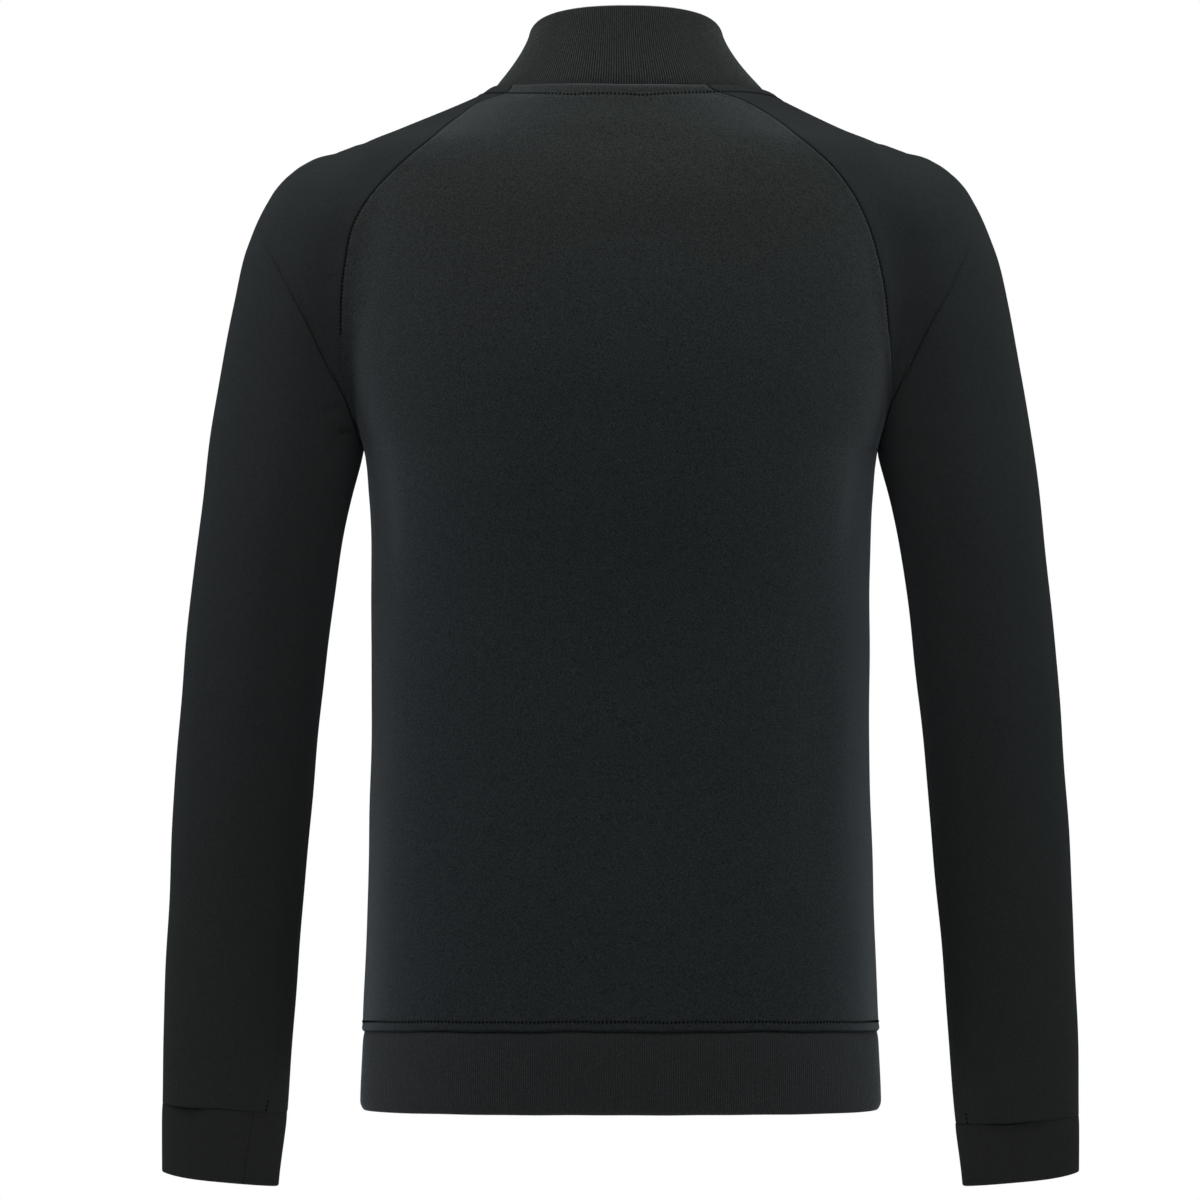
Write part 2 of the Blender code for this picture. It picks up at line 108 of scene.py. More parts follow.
Arm = namedtuple("Arm", "height inner outer middle half_depth squareness")
ARM = (
    Arm(-0.765, 0.2350, 0.3145, -0.020, 0.0220, 2.2),
    Arm(-0.703, 0.2285, 0.3145, -0.018, 0.0290, 2.2),
    Arm(-0.625, 0.2230, 0.3122, -0.014, 0.0350, 2.1),
    Arm(-0.557, 0.2170, 0.3090, -0.010, 0.0405, 2.1),
    Arm(-0.488, 0.2110, 0.3056, -0.007, 0.0455, 2.05),
    Arm(-0.420, 0.2040, 0.3008, -0.004, 0.0495, 2.0),
    Arm(-0.351, 0.1960, 0.2943, -0.002, 0.0535, 2.0),
    Arm(-0.283, 0.1840, 0.2862, 0.000, 0.0565, 2.0),
    Arm(-0.249, 0.1755, 0.2820, 0.000, 0.0575, 2.0),
    Arm(-0.200, 0.1710, 0.2745, 0.000, 0.0590, 2.0),
    Arm(-0.150, 0.1690, 0.2652, 0.000, 0.0600, 2.0),
    Arm(-0.110, 0.1640, 0.2550, 0.000, 0.0590, 2.0),
    Arm(-0.080, 0.1570, 0.2420, 0.000, 0.0530, 2.0),
    Arm(-0.069, 0.1570, 0.2350, 0.000, 0.0470, 2.0),
    Arm(-0.060, 0.1590, 0.2260, 0.000, 0.0380, 2.0),
    Arm(-0.053, 0.1620, 0.2158, 0.000, 0.0270, 2.0),
    Arm(-0.048, 0.1660, 0.2034, 0.000, 0.0160, 2.0),
    Arm(-0.045, 0.1720, 0.1880, 0.000, 0.0080, 2.0),
)
ABOVE_ARM = 4

NeckSeam = namedtuple("NeckSeam", "angle left right")
NECK_SEAM = (
    NeckSeam(0, -0.0027, -0.0027),
    NeckSeam(30, -0.0023, -0.0023),
    NeckSeam(62, -0.0019, -0.0022),
    NeckSeam(90, -0.0012, -0.0056),
    NeckSeam(130, -0.018, -0.018),
    NeckSeam(160, -0.033, -0.033),
    NeckSeam(180, -0.038, -0.038),
)

Seam = namedtuple("Seam", "height left right")
BACK_RAGLAN = (
    Seam(-0.0020, 0.0768, 0.0552),
    Seam(-0.0060, 0.0785, 0.0588),
    Seam(-0.0085, 0.0840, 0.0675),
    Seam(-0.0115, 0.0945, 0.0765),
    Seam(-0.022, 0.1098, 0.0985),
    Seam(-0.038, 0.1278, 0.1207),
    Seam(-0.055, 0.1481, 0.1403),
    Seam(-0.075, 0.1678, 0.1565),
    Seam(-0.095, 0.1801, 0.1668),
    Seam(-0.125, 0.1870, 0.1756),
    Seam(-0.165, 0.1900, 0.1811),
    Seam(-0.205, 0.1890, 0.1840),
    Seam(-0.232, 0.1815, 0.1797),
    Seam(ARMPIT_HEIGHT, ARMPIT_HALF_WIDTH, ARMPIT_HALF_WIDTH),
)
FRONT_RAGLAN = (
    Seam(-0.023, 0.0600, 0.0600),
    Seam(-0.045, 0.0790, 0.0790),
    Seam(-0.075, 0.1040, 0.1040),
    Seam(-0.110, 0.1340, 0.1340),
    Seam(-0.145, 0.1580, 0.1580),
    Seam(-0.180, 0.1760, 0.1760),
    Seam(-0.205, 0.1820, 0.1820),
    Seam(-0.232, 0.1800, 0.1800),
    Seam(ARMPIT_HEIGHT, ARMPIT_HALF_WIDTH, ARMPIT_HALF_WIDTH),
)

NECK_EASE = math.radians(35)
NECK_CORNER = 0.066
SECTION_MIDDLE = 0.45
CUFF_SEAM_HEIGHT = {"left": -0.6991, "right": -0.7076}
CUFF_HEIGHT = -0.7495
ARMPIT_TILT = math.radians(7.5)
CUFF_SEAM_TILT = math.radians(3.6)
CUFF_TILT = math.radians(5.2)
SEAM_TURNS_FROM = -0.430  # the underarm seam runs round to the back from here to the cuff
SEAM_TURN = {"left": math.radians(38), "right": math.radians(27)}

CollarTop = namedtuple("CollarTop", "angle height")
COLLAR_TOP = (
    CollarTop(0, 0.0515),
    CollarTop(35, 0.0497),
    CollarTop(60, 0.0452),
    CollarTop(90, 0.0350),
    CollarTop(130, 0.0205),
    CollarTop(180, 0.0130),
)
COLLAR_TOP_HALF_WIDTH = 0.0662
COLLAR_TOP_BACK = 0.0665
COLLAR_TOP_FRONT = 0.0640
COLLAR_FLARE = 1.35

# ---------------------------------------------------------------- cloth, seams and stitches

PANEL_WALL = 0.0015
RIB_WALL = 0.0028
CLOSE_ROWS = 6  # grid rows under a topstitch
CLOSE_REACH = 0.0018  # how far they reach beyond the hem's, as a share of a side seam
NECK_STITCHED = (0.0310, 0.0410)  # where the neck's are, as shares of a raglan seam
RAGLAN_LENGTH = 0.300
PANEL_WIDTH = 0.430
SLEEVE_WIDTH = 0.330
COLLAR_LENGTH = 0.055
FINEST = 0.0005  # grid steps at a seam, growing to the piece's coarsest
GROWTH = 1.28
PANEL_STEP = 0.0046
UPPER_PANEL_STEP = 0.00368
LOWER_PANEL_STEP = 0.00598
UPPER_SLEEVE_STEP = 0.0023
LOWER_SLEEVE_STEP = 0.0050
COLLAR_STEP = 0.0045
CUFF_STEP = 0.0040
HEM_BAND_STEP = 0.0070

LIP_DEPTH = 0.0009  # how far a seam's edges turn in
LIP_REACH = 0.0008
UNDERARM_LIP = 0.25  # as shares of that depth
CUFF_LIP = 0.30
Strip = namedtuple("Strip", "width rise")  # between a seam and its topstitch
PADDED_AT = 0.35  # where a strip is thickest, as a share of its width
PADDED_REACH = 0.40
NECK_STRIP = Strip(0.0096, 0.0013)
NECK_STRIP_WIDENING = 0.0022  # towards its corners and round the sleeves
HEM_STRIP = Strip(0.0064, 0.0004)
ALLOWANCE_RISE = 0.00025  # of a raglan seam's allowance, where it ends under the cloth
ALLOWANCE_PLACE = 0.0040
ALLOWANCE_WIDTH = 0.0030
STITCH_SINK = 0.0001
STITCH_SINK_REACH = 0.0008
RAGLAN_STITCH = 0.0004  # the raglan's stitches lie in its seam
RAGLAN_STITCHED_FROM = -0.172  # and show above this height
UNDERARM_STITCHED = 0.011  # how far up from the cuff the underarm seam's stitches show

# How dark a seam's line is, from 0 to 1, and how far it reaches on each side: its dark thread together
# with painted shade in its groove, under lapping cloth, in folds and in open gaps.
SEAM_SHADE_REACH = 0.0007
NECK_SHADE = 0.60
UNDERARM_SHADE = 0.04
STITCHED_SHADE = 0.02
STITCHED_SHADE_REACH = 0.0006
CUFF_SHADE = 0.10
CUFF_JOIN_SHADE = 0.30
OPEN_SHADE_LIFT = 0.0018  # how far a cuff seam opens before it is quite dark
OPEN_SHADE_SPREAD = 0.25
RAGLAN_SHADE_HEIGHTS = (-0.180, -0.150)
RAGLAN_SHADES = (0.05, 0.68)
RAGLAN_SHADE_REACH = 0.0008
HEM_SHADE_REACH = 0.0010
HEM_SIDE_SHADE = 0.50
HEM_SHADE_DEPTH = 0.09  # how far back or forward it is quite dark

STITCH_PITCH = 0.0027
STITCH_LENGTH = 0.0014
TOPSTITCH_WIDTH = 0.0017
SEAM_STITCH_WIDTH = 0.0015
STITCH_HEIGHT = 0.0007
STITCH_AHEAD = 0.0006  # how far along its line a stitch takes its direction from

COLLAR_RIB = 0.00135  # from rib to rib at the top edge
BAND_RIB = 0.0015
COLLAR_RIB_DEPTH = 0.0006
HEM_RIB_DEPTH = 0.00035
CUFF_RIB_DEPTH = 0.00014
RIB_SINK = 0.0009
CUFF_SINK = 0.0003
RIB_SINK_REACH = 0.0040
RIB_COLUMNS = 4  # grid columns on each rib
INNER_ROWS = 4  # outer rows to each row of a rib's inner side
EDGE_TURNS = (30, 60, 90, 120, 150)  # degrees round a rib's folded edge
CUFF_JOIN = {"left": 0.960, "right": 0.160}  # where each cuff is joined into a ring, as a share of it
CUFF_JOIN_REACH = 0.0006
CUFF_JOIN_DEPTH = 0.0003
CUFF_CORNER_RISE = 0.0030  # at the cuff's lower edge, on the arm's outer side
CUFF_HALF_WIDTH = 0.043
SIDE_FALL = 0.0050
FALL_REACH = 0.055
HEM_WAVE = 0.0002
WIDE_WAVES = 0.0006  # of cloth that isn't pulled tight
CLOSE_WAVES = 0.00022
HEM_TUCK = 0.0020  # how far the hem band's lower edge rolls in
HEM_TUCK_REACH = 0.0065

# The armpit fold of each arm, seen from behind and from the front alike, from the shoulder's tip to the
# armpit: a low step up onto the arm with a line of painted shade on its far side, and below it a crevice
# darkened with painted shade.
Fold = namedtuple("Fold", "z left right step line crevice")
ARMPIT_FOLD = (
    Fold(-0.1010, 0.2475, 0.2400, 0.0000, 0.0, 0.0),
    Fold(-0.1080, 0.2430, 0.2365, 0.0004, 0.1, 0.0),
    Fold(-0.1190, 0.2347, 0.2320, 0.0006, 0.3, 0.0),
    Fold(-0.1410, 0.2230, 0.2215, 0.0007, 0.4, 0.0),
    Fold(-0.1620, 0.2120, 0.2097, 0.0008, 0.5, 0.0),
    Fold(-0.1860, 0.2011, 0.1981, 0.0008, 0.6, 0.0),
    Fold(-0.1950, 0.1966, 0.1941, 0.0008, 0.5, 0.1),
    Fold(-0.2040, 0.1923, 0.1902, 0.0006, 0.2, 0.9),
    Fold(-0.2170, 0.1864, 0.1842, 0.0003, 0.0, 1.0),
    Fold(-0.2340, 0.1808, 0.1791, 0.0000, 0.0, 0.8),
    Fold(-0.2490, 0.1755, 0.1755, 0.0000, 0.0, 0.6),
)
FOLD_EDGE = 0.0007
FOLD_LINE = 0.0013  # how far the dark line lies from the step
FOLD_LINE_WIDTH = 0.0006
FOLD_REACH = 0.020
CREVICE_DEPTH = 0.0012
CREVICE_WIDTH = 0.0004
FOLD_DENSITY = 4.0  # how much closer together a sleeve's columns lie at its folds
FOLD_DENSE_WIDTH = 0.020  # as a share of a row
FOLD_MET = 0.0025  # how near a row that crosses a fold comes to it
FOLD_SMOOTHING = 4  # rows on each side that its place is evened over
FOLD_FADE = 10  # rows over which the columns spread out beyond its ends

# Soft troughs (depth below 0) and ridges on one face of a piece, as seen straight on: across, up.
Crease = namedtuple("Crease", "depth width line")
CREASES = {
    ("sleeve_left", 1): (
        Crease(-0.0018, 0.0026, ((0.1870, -0.2180), (0.1952, -0.2223), (0.2050, -0.2237))),
        Crease(-0.0020, 0.0025, ((0.1815, -0.2358), (0.1891, -0.2386), (0.1945, -0.2450))),
        Crease(-0.0009, 0.0040, ((0.1830, -0.2450), (0.1930, -0.2460), (0.2090, -0.2530))),
        Crease(0.0007, 0.0045, ((0.1880, -0.2290), (0.1960, -0.2300), (0.2080, -0.2350))),
        Crease(-0.0008, 0.0090, ((0.2060, -0.3500), (0.2300, -0.3700), (0.2640, -0.3760))),
        Crease(0.0008, 0.0110, ((0.2150, -0.4020), (0.2450, -0.4120), (0.2850, -0.4080))),
        Crease(-0.0007, 0.0100, ((0.2180, -0.4380), (0.2400, -0.4470), (0.2700, -0.4440))),
    ),
    ("sleeve_right", 1): (
        Crease(-0.0008, 0.0060, ((-0.1960, -0.2180), (-0.2130, -0.2230), (-0.2330, -0.2240))),
        Crease(-0.0007, 0.0050, ((-0.1880, -0.2390), (-0.2020, -0.2460), (-0.2160, -0.2480))),
        Crease(-0.0008, 0.0100, ((-0.2120, -0.3650), (-0.2400, -0.3860), (-0.2700, -0.3900))),
        Crease(0.0008, 0.0120, ((-0.2300, -0.4200), (-0.2600, -0.4330), (-0.2900, -0.4290))),
    ),
    ("sleeve_left", -1): (
        Crease(-0.0010, 0.0036, ((0.1880, -0.2230), (0.1970, -0.2260), (0.2070, -0.2330))),
        Crease(-0.0010, 0.0040, ((0.1840, -0.2410), (0.1960, -0.2450), (0.2120, -0.2540))),
        Crease(-0.0014, 0.0085, ((0.2080, -0.3880), (0.2300, -0.4000), (0.2560, -0.3990))),
        Crease(0.0010, 0.0095, ((0.2140, -0.4150), (0.2370, -0.4290), (0.2720, -0.4300))),
        Crease(-0.0012, 0.0080, ((0.2200, -0.4520), (0.2390, -0.4600), (0.2620, -0.4570))),
    ),
    ("sleeve_right", -1): (
        Crease(-0.0010, 0.0036, ((-0.1870, -0.2210), (-0.1970, -0.2250), (-0.2090, -0.2270))),
        Crease(-0.0010, 0.0042, ((-0.1840, -0.2400), (-0.1980, -0.2470), (-0.2130, -0.2520))),
        Crease(-0.0013, 0.0090, ((-0.2070, -0.3800), (-0.2300, -0.3930), (-0.2600, -0.3960))),
        Crease(0.0010, 0.0100, ((-0.2130, -0.4090), (-0.2400, -0.4250), (-0.2750, -0.4240))),
        Crease(-0.0011, 0.0080, ((-0.2190, -0.4440), (-0.2400, -0.4560), (-0.2660, -0.4540))),
    ),
    ("back", 1): (
        Crease(-0.0010, 0.0070, ((0.1600, -0.2500), (0.1590, -0.2900), (0.1540, -0.3400))),
        Crease(-0.0010, 0.0070, ((-0.1600, -0.2400), (-0.1580, -0.2850), (-0.1530, -0.3300))),
        Crease(-0.0006, 0.0120, ((-0.1280, -0.3200), (-0.1320, -0.4300), (-0.1290, -0.5600))),
        Crease(0.0005, 0.0100, ((-0.1480, -0.3400), (-0.1500, -0.4400), (-0.1480, -0.5400))),
        Crease(-0.0005, 0.0130, ((0.1130, -0.3900), (0.1170, -0.4800), (0.1140, -0.5900))),
    ),
    ("front", -1): (
        Crease(-0.0010, 0.0070, ((0.1600, -0.2420), (0.1570, -0.2850), (0.1500, -0.3380))),
        Crease(-0.0010, 0.0070, ((-0.1600, -0.2480), (-0.1560, -0.2900), (-0.1490, -0.3350))),
        Crease(-0.0011, 0.0100, ((0.1500, -0.2150), (0.1270, -0.1960), (0.0990, -0.1830))),
        Crease(-0.0010, 0.0110, ((-0.1480, -0.2190), (-0.1230, -0.2030), (-0.0960, -0.1920))),
        Crease(-0.0006, 0.0120, ((0.1240, -0.3600), (0.1200, -0.4600), (0.1230, -0.5700))),
        Crease(0.0005, 0.0120, ((-0.1350, -0.3500), (-0.1320, -0.4500), (-0.1360, -0.5600))),
    ),
}
CREASE_FACING = 0.012

# Where a sleeve's lower edge stands off its cuff in a small gap, darkened by painted shadow: across on a
# face, and how far off and down it hangs.
Gap = namedtuple("Gap", "piece face x width lift drop")
CUFF_GAPS = (
    Gap("sleeve_left", 1, 0.2960, 0.0125, 0.0022, 0.0012),
    Gap("sleeve_left", 1, 0.2520, 0.0080, 0.0004, 0.0002),
    Gap("sleeve_right", 1, -0.2650, 0.0175, 0.0024, 0.0013),
    Gap("sleeve_left", -1, 0.2650, 0.0170, 0.0018, 0.0014),
    Gap("sleeve_right", -1, -0.2870, 0.0160, 0.0018, 0.0012),
)
GAP_RISE = 0.0070
GAP_FACING = 0.010

ARMPIT_HOLD = 0.038  # how far from the armpit its seams stay flat
ARMPIT_HOLD_WIDTH = 0.0050

# The worn neck stands a little to the wearer's right of the middle.
NECK_LEAN = 0.0036
NECK_LEAN_FROM = -0.034
NECK_LEAN_TO = 0.006

# ---------------------------------------------------------------- colours and the stage

BODY_DARK = (0.0086, 0.0095, 0.0095, 1.0)
BODY_LIGHT = (0.0193, 0.0225, 0.0227, 1.0)
SLEEVE_DARK = (0.0139, 0.0151, 0.0146, 1.0)
SLEEVE_LIGHT = (0.0190, 0.0209, 0.0202, 1.0)
COLLAR_DARK = (0.0205, 0.0223, 0.0216, 1.0)
COLLAR_LIGHT = (0.0360, 0.0395, 0.0383, 1.0)
# Painted shade in the collar's rib grooves; the hem's and cuffs' groove colours below likewise.
COLLAR_GROOVE_SHADE = (0.0077, 0.0081, 0.0080, 1.0)
HEM_DARK = (0.0158, 0.0171, 0.0171, 1.0)
HEM_LIGHT = (0.0284, 0.0311, 0.0314, 1.0)
HEM_GROOVE_SHADE = (0.0127, 0.0135, 0.0136, 1.0)
CUFF_DARK = (0.0129, 0.0139, 0.0130, 1.0)
CUFF_LIGHT = (0.0207, 0.0226, 0.0207, 1.0)
CUFF_GROOVE_SHADE = (0.0154, 0.0166, 0.0154, 1.0)
# The seams' dark thread, and the painted shade in seams, fold crevices and cuff gaps.
SEAM_THREAD_AND_SHADE = (0.0006, 0.0007, 0.0008, 1.0)
THREAD = (0.0008, 0.0009, 0.0011, 1.0)
THREAD_LIGHT = (0.0020, 0.0022, 0.0026, 1.0)

# A colour cast, which turns from cool to warm between two heights: on the body, a painted warm light on
# the upper back, and on the sleeves, warmer towards the cuffs.
Cast = namedtuple("Cast", "cool_at warm_at warm")
COOL = (0.97, 1.00, 1.05, 1.0)
BODY_CAST_PAINTED_LIGHT = Cast(-0.28, -0.08, (1.05, 1.02, 0.96, 1.0))
SLEEVE_CAST = Cast(-0.45, -0.62, (0.99, 1.02, 0.96, 1.0))
CAST_PATCHES = 5.5
CAST_RAGGEDNESS = 0.12

SHEEN = 0.03
BODY_SHEEN = 0.16
SHEEN_ROUGHNESS = 0.45
SHEEN_TINT = (0.82, 0.92, 1.0, 1.0)
CLOTH_ROUGHNESS = 0.78
GRAIN_SCALE = 1100.0
GRAIN_DARK = 0.38  # levels of the grain's noise
GRAIN_LIGHT = 0.62
GRAIN_BUMP = 0.45  # shares of the bump's distance
KNIT_BUMP = 0.10
BUMP_DISTANCE = 0.001
BUMP_STRENGTH = 0.6
WALE = 0.0011  # the knit's columns and courses
COURSE = 0.0008
KNIT_SLANT = 1.4
TWIST_SCALE = 2600.0
THREAD_ROUGHNESS = 0.6
THREAD_SPECULAR = 0.03

FLOOR_HEIGHT = -1.10
FLOOR_RADIUS = 4.2
FLOOR_DARK = (0.80, 0.80, 0.80, 1.0)
FLOOR_LIGHT = (0.84, 0.84, 0.84, 1.0)
FLOOR_PATCHES = 1.5
FLOOR_ROUGHNESS = 0.9
FLOOR_GLOW = 0.6
WHITE = (1.0, 1.0, 1.0)
BACKDROP_LIGHT = 0.02

Softbox = namedtuple("Softbox", "name place target width height watts colour")
SOFTBOXES = (
    Softbox("above", (0.0, 1.3, 0.9), (0.0, 0.0, -0.1), 0.9, 0.5, 6.5, WHITE),
    Softbox("close_above", (0.0, 0.60, 0.62), (0.0, 0.1, -0.1), 0.6, 0.3, 5.2, WHITE),
    Softbox("high_left", (1.15, 0.25, 0.85), (0.2, 0.0, -0.1), 0.5, 0.6, 15.5, WHITE),
    Softbox("high_right", (-1.15, 0.25, 0.85), (-0.2, 0.0, -0.1), 0.5, 0.6, 17.3, (0.96, 1.02, 1.02)),
    Softbox("side_left", (2.2, 0.35, 0.35), (0.0, 0.0, -0.25), 0.5, 1.0, 6.0, (0.88, 0.96, 1.16)),
    Softbox("front_left", (1.0, -3.4, 0.6), (0.0, 0.0, -0.35), 1.2, 1.8, 14.0, WHITE),
    Softbox("front_right", (-1.0, -3.4, 0.6), (0.0, 0.0, -0.35), 1.2, 1.8, 14.0, WHITE),
)

CAMERA_DISTANCE = 6.0
CAMERA_ACROSS = 0.0141
CAMERA_HEIGHT = -0.3512
VIEW_WIDTH = 0.8205
SENSOR = 36.0


def unit(vectors):
    return vectors / np.linalg.norm(vectors, axis=-1, keepdims=True)


def bell(distance, width):
    """1 at no distance, falling away on both sides."""
    return np.exp(-((distance / width) ** 2))


def gentle(share):
    """A share from 0 to 1 that starts and ends slowly."""
    return share * share * (3 - 2 * share)


def smooth(at, places, values):
    """A smooth curve through a table's values, level beyond its ends."""
    x, y = np.array(places, float), np.array(values, float)
    if x[0] > x[-1]:
        x, y = x[::-1], y[::-1]
    slope = np.gradient(y, x)
    slope[[0, -1]] = 0
    at = np.clip(at, x[0], x[-1])
    i = np.clip(np.searchsorted(x, at) - 1, 0, len(x) - 2)
    step = x[i + 1] - x[i]
    t = (at - x[i]) / step
    ends = (1 + 2 * t) * (1 - t) ** 2 * y[i] + gentle(t) * y[i + 1]
    return ends + t * (1 - t) * step * ((1 - t) * slope[i] - t * slope[i + 1])


def column(table, name, at):
    """One column of a table, read at any height or angle."""
    return smooth(at, [row[0] for row in table], [getattr(row, name) for row in table])


def outside_oval(x, y, half_width, depth, squareness):
    """How far a point is outside a squared oval, along the line from its middle: below 0 inside."""
    x = x + 1e-9  # so that the middle itself has a direction
    gauge = (np.abs(x / half_width) ** squareness + np.abs(y / depth) ** squareness) ** (1 / squareness)
    return np.hypot(x, y) * (1 - 1 / gauge)


def outside_torso(p):
    z = p[..., 2]
    depth = np.where(p[..., 1] > 0, column(TORSO, "back", z), column(TORSO, "front", z))
    half_width, squareness = column(TORSO, "half_width", z), column(TORSO, "squareness", z)
    return outside_oval(p[..., 0], p[..., 1], half_width, depth, squareness)


def outside_arm(p):
    """The same for the two arms, which mirror each other."""
    z = p[..., 2]
    inner, outer = column(ARM, "inner", z), column(ARM, "outer", z)
    x = np.abs(p[..., 0]) - (inner + outer) / 2
    y = p[..., 1] - column(ARM, "middle", z)
    depth, squareness = column(ARM, "half_depth", z), column(ARM, "squareness", z)
    away = outside_oval(x, y, (outer - inner) / 2, depth, squareness)
    return away + ABOVE_ARM * np.maximum(z - ARM[-1].height, 0)


def outside_body(p):
    """Torso and arms run together, widely at the shoulder and hardly at all in the armpit."""
    torso, arm = outside_torso(p), outside_arm(p)
    blend = BLEND * np.clip((p[..., 2] - ARMPIT_HEIGHT - CREASE_RISE) / BLEND_RISE, LEAST_BLEND, 1)
    share = np.clip(0.5 + (arm - torso) / (2 * blend), 0, 1)
    return arm + (torso - arm) * share - blend * share * (1 - share)


def surface(outside, middle, through):
    """Where the line from a point inside the form, through another point, first comes out of it."""
    ahead = unit(through - middle)
    reach = np.zeros(ahead.shape[:-1])
    step, tries = STRIDE, round(LONGEST_WAY / STRIDE)
    while step > CLOSE_ENOUGH:
        inside = np.ones(reach.shape, bool)
        for _ in range(tries):
            inside &= outside(middle + (reach + step)[..., None] * ahead) < 0
            if not inside.any():
                break
            reach = np.where(inside, reach + step, reach)
        step, tries = step / 2, 2
    return middle + reach[..., None] * ahead


def outward(outside, p):
    """The form's own direction outwards at points on it, eased across seams and creases."""
    step = NORMAL_REACH * np.eye(3)
    slope = np.stack([outside(p + d) - outside(p - d) for d in step], axis=-1)
    return unit(slope)


def points(x, y, z):
    return np.stack(np.broadcast_arrays(x, y, z), axis=-1).astype(float)


def on_face(x, z, face):
    """The point of the body's back (face 1) or front (face -1) that is seen at x and z."""
    middle = points(x, 0.0, z)
    return surface(outside_body, middle, middle + (0, face, 0))


def neck_seam(degrees, sides=("left", "right")):
    """Points of the neck seam, by their angle from the middle of the back towards the first side."""
    turn = np.radians(degrees)
    from_back = 180 - np.abs(180 - np.abs(degrees))
    heights = [column(NECK_SEAM, side, from_back) for side in sides]
    height = np.where(np.sin(turn) > 0, *heights)
    middle = points(0.0, 0.0, height)
    return surface(outside_torso, middle, middle + points(np.sin(turn), np.cos(turn), 0.0))


def lengths(line):
    """How far along a line of points each of them is."""
    steps = np.linalg.norm(np.diff(line, axis=-2), axis=-1)
    return np.concatenate([np.zeros(steps.shape[:-1] + (1,)), np.cumsum(steps, axis=-1)], axis=-1)


def lengths_down(grid):
    return lengths(grid.swapaxes(0, 1)).swapaxes(0, 1)


def read_at(at, along, values):
    """A line's points or directions at distances along it."""
    return np.stack([np.interp(at, along, values[:, k]) for k in range(3)], axis=-1)


def at_shares(line, shares):
    """Points at shares of a line's length."""
    along = lengths(line)
    return read_at(shares * along[-1], along, line)


def raglan(side, face, shares):
    """The raglan seam's points from the neck to the armpit, at shares of its length."""
    table = BACK_RAGLAN if face > 0 else FRONT_RAGLAN
    heights = np.linspace(table[0].height, ARMPIT_HEIGHT, 3 * FINE)
    line = on_face(column(table, side, heights), heights, face)
    line[-1] = (ARMPIT_HALF_WIDTH, 0, ARMPIT_HEIGHT)
    return at_shares(line, shares)


def graded(length, coarsest, finest_ends=(True, True)):
    """Shares of a length from 0 to 1, in steps that grow from each seamed end up to the coarsest."""
    sides = []
    for seamed in finest_ends:
        steps, step = [], FINEST
        while seamed and step < coarsest and sum(steps) < length / 2:
            steps.append(step)
            step *= GROWTH
        sides.append(steps)
    left = length - sum(sides[0]) - sum(sides[1])
    between = max(1, math.ceil(left / coarsest))
    steps = sides[0] + [left / between] * between + sides[1][::-1]
    along = np.concatenate([[0], np.cumsum(steps)])
    return along / along[-1]


def with_close_steps(shares, first, last):
    """The shares with closer ones between a first and a last."""
    outside = shares[(shares < first - CLOSE_REACH / 2) | (shares > last + CLOSE_REACH / 2)]
    return np.sort(np.concatenate([outside, np.linspace(first, last, CLOSE_ROWS)]))


def spaced(rows, shares):
    """Rows of points, worked out at parameters from 0 to 1, at shares of each row's own length.

    The shares are the same for all rows, or a row of them for each.
    """
    first = np.linspace(0, 1, FINE)
    along = lengths(rows(first[None, :]))
    shares = np.broadcast_to(shares, (len(along), np.shape(shares)[-1]))
    picked = [np.interp(share * row[-1], row, first) for share, row in zip(shares, along)]
    return rows(np.array(picked))


def drawn_to(shares, places, pulls):
    """A row of shares for each row of places, drawn together about each place by its pull."""
    fine = np.linspace(0, 1, 4 * FINE)
    near = bell(fine - places[..., None], FOLD_DENSE_WIDTH)
    density = 1 + FOLD_DENSITY * (pulls[..., None] * near).sum(axis=1)
    steps = (density[:, 1:] + density[:, :-1]) / 2
    reached = np.concatenate([np.zeros((len(density), 1)), np.cumsum(steps, axis=1)], axis=1)
    return np.array([np.interp(shares, row / row[-1], fine) for row in reached])


# ---------------------------------------------------------------- the pieces' grids


def spread(across, right, left, share):
    """Places across a row between its ends, closest together beside the side seams (share 0)."""
    widest = math.pi / 2 - share * NECK_EASE
    x = np.sin(across * widest) / np.sin(widest)
    return np.where(x < 0, -right * x, left * x)


def panel_above(face, seam_shares, columns):
    """The rows of the back or front between its raglan seams, from the armpits up to the neck."""
    right, left = (raglan(side, face, seam_shares)[::-1] for side in ("right", "left"))
    right = right * MIRROR["right"]
    share = (1 - seam_shares[::-1])[:, None]
    neck = neck_seam(np.linspace(-90, 90, FINE) if face > 0 else np.linspace(270, 90, FINE))

    def rows(parameter):
        across = 2 * parameter - 1
        top = spread(across, right[-1, 0], left[-1, 0], 1)
        level = right[-1, 2] + (left[-1, 2] - right[-1, 2]) * parameter
        neck_dip = np.interp(top, neck[:, 0], neck[:, 2]) - level
        x = spread(across, right[:, :1], left[:, :1], share)
        over = (x - right[:, :1]) / (left[:, :1] - right[:, :1])
        z = right[:, 2:] + (left[:, 2:] - right[:, 2:]) * over + share**3 * neck_dip
        found = on_face(x, z, face)
        found[:, 0], found[:, -1] = right, left
        return found

    return spaced(rows, columns)


def panel_below(face, heights, columns):
    """Its level rows from side seam to side seam, from the hem seam up to the armpits."""
    height = heights[:, None]
    half_width, squareness = column(TORSO, "half_width", height), column(TORSO, "squareness", height)
    depth = column(TORSO, "back" if face > 0 else "front", height)

    def rows(parameter):
        x = np.sin((2 * parameter - 1) * math.pi / 2)
        y = face * depth * np.maximum(1 - np.abs(x) ** squareness, 0) ** (1 / squareness)
        return points(half_width * x, y, height + 0 * x)

    return spaced(rows, columns)


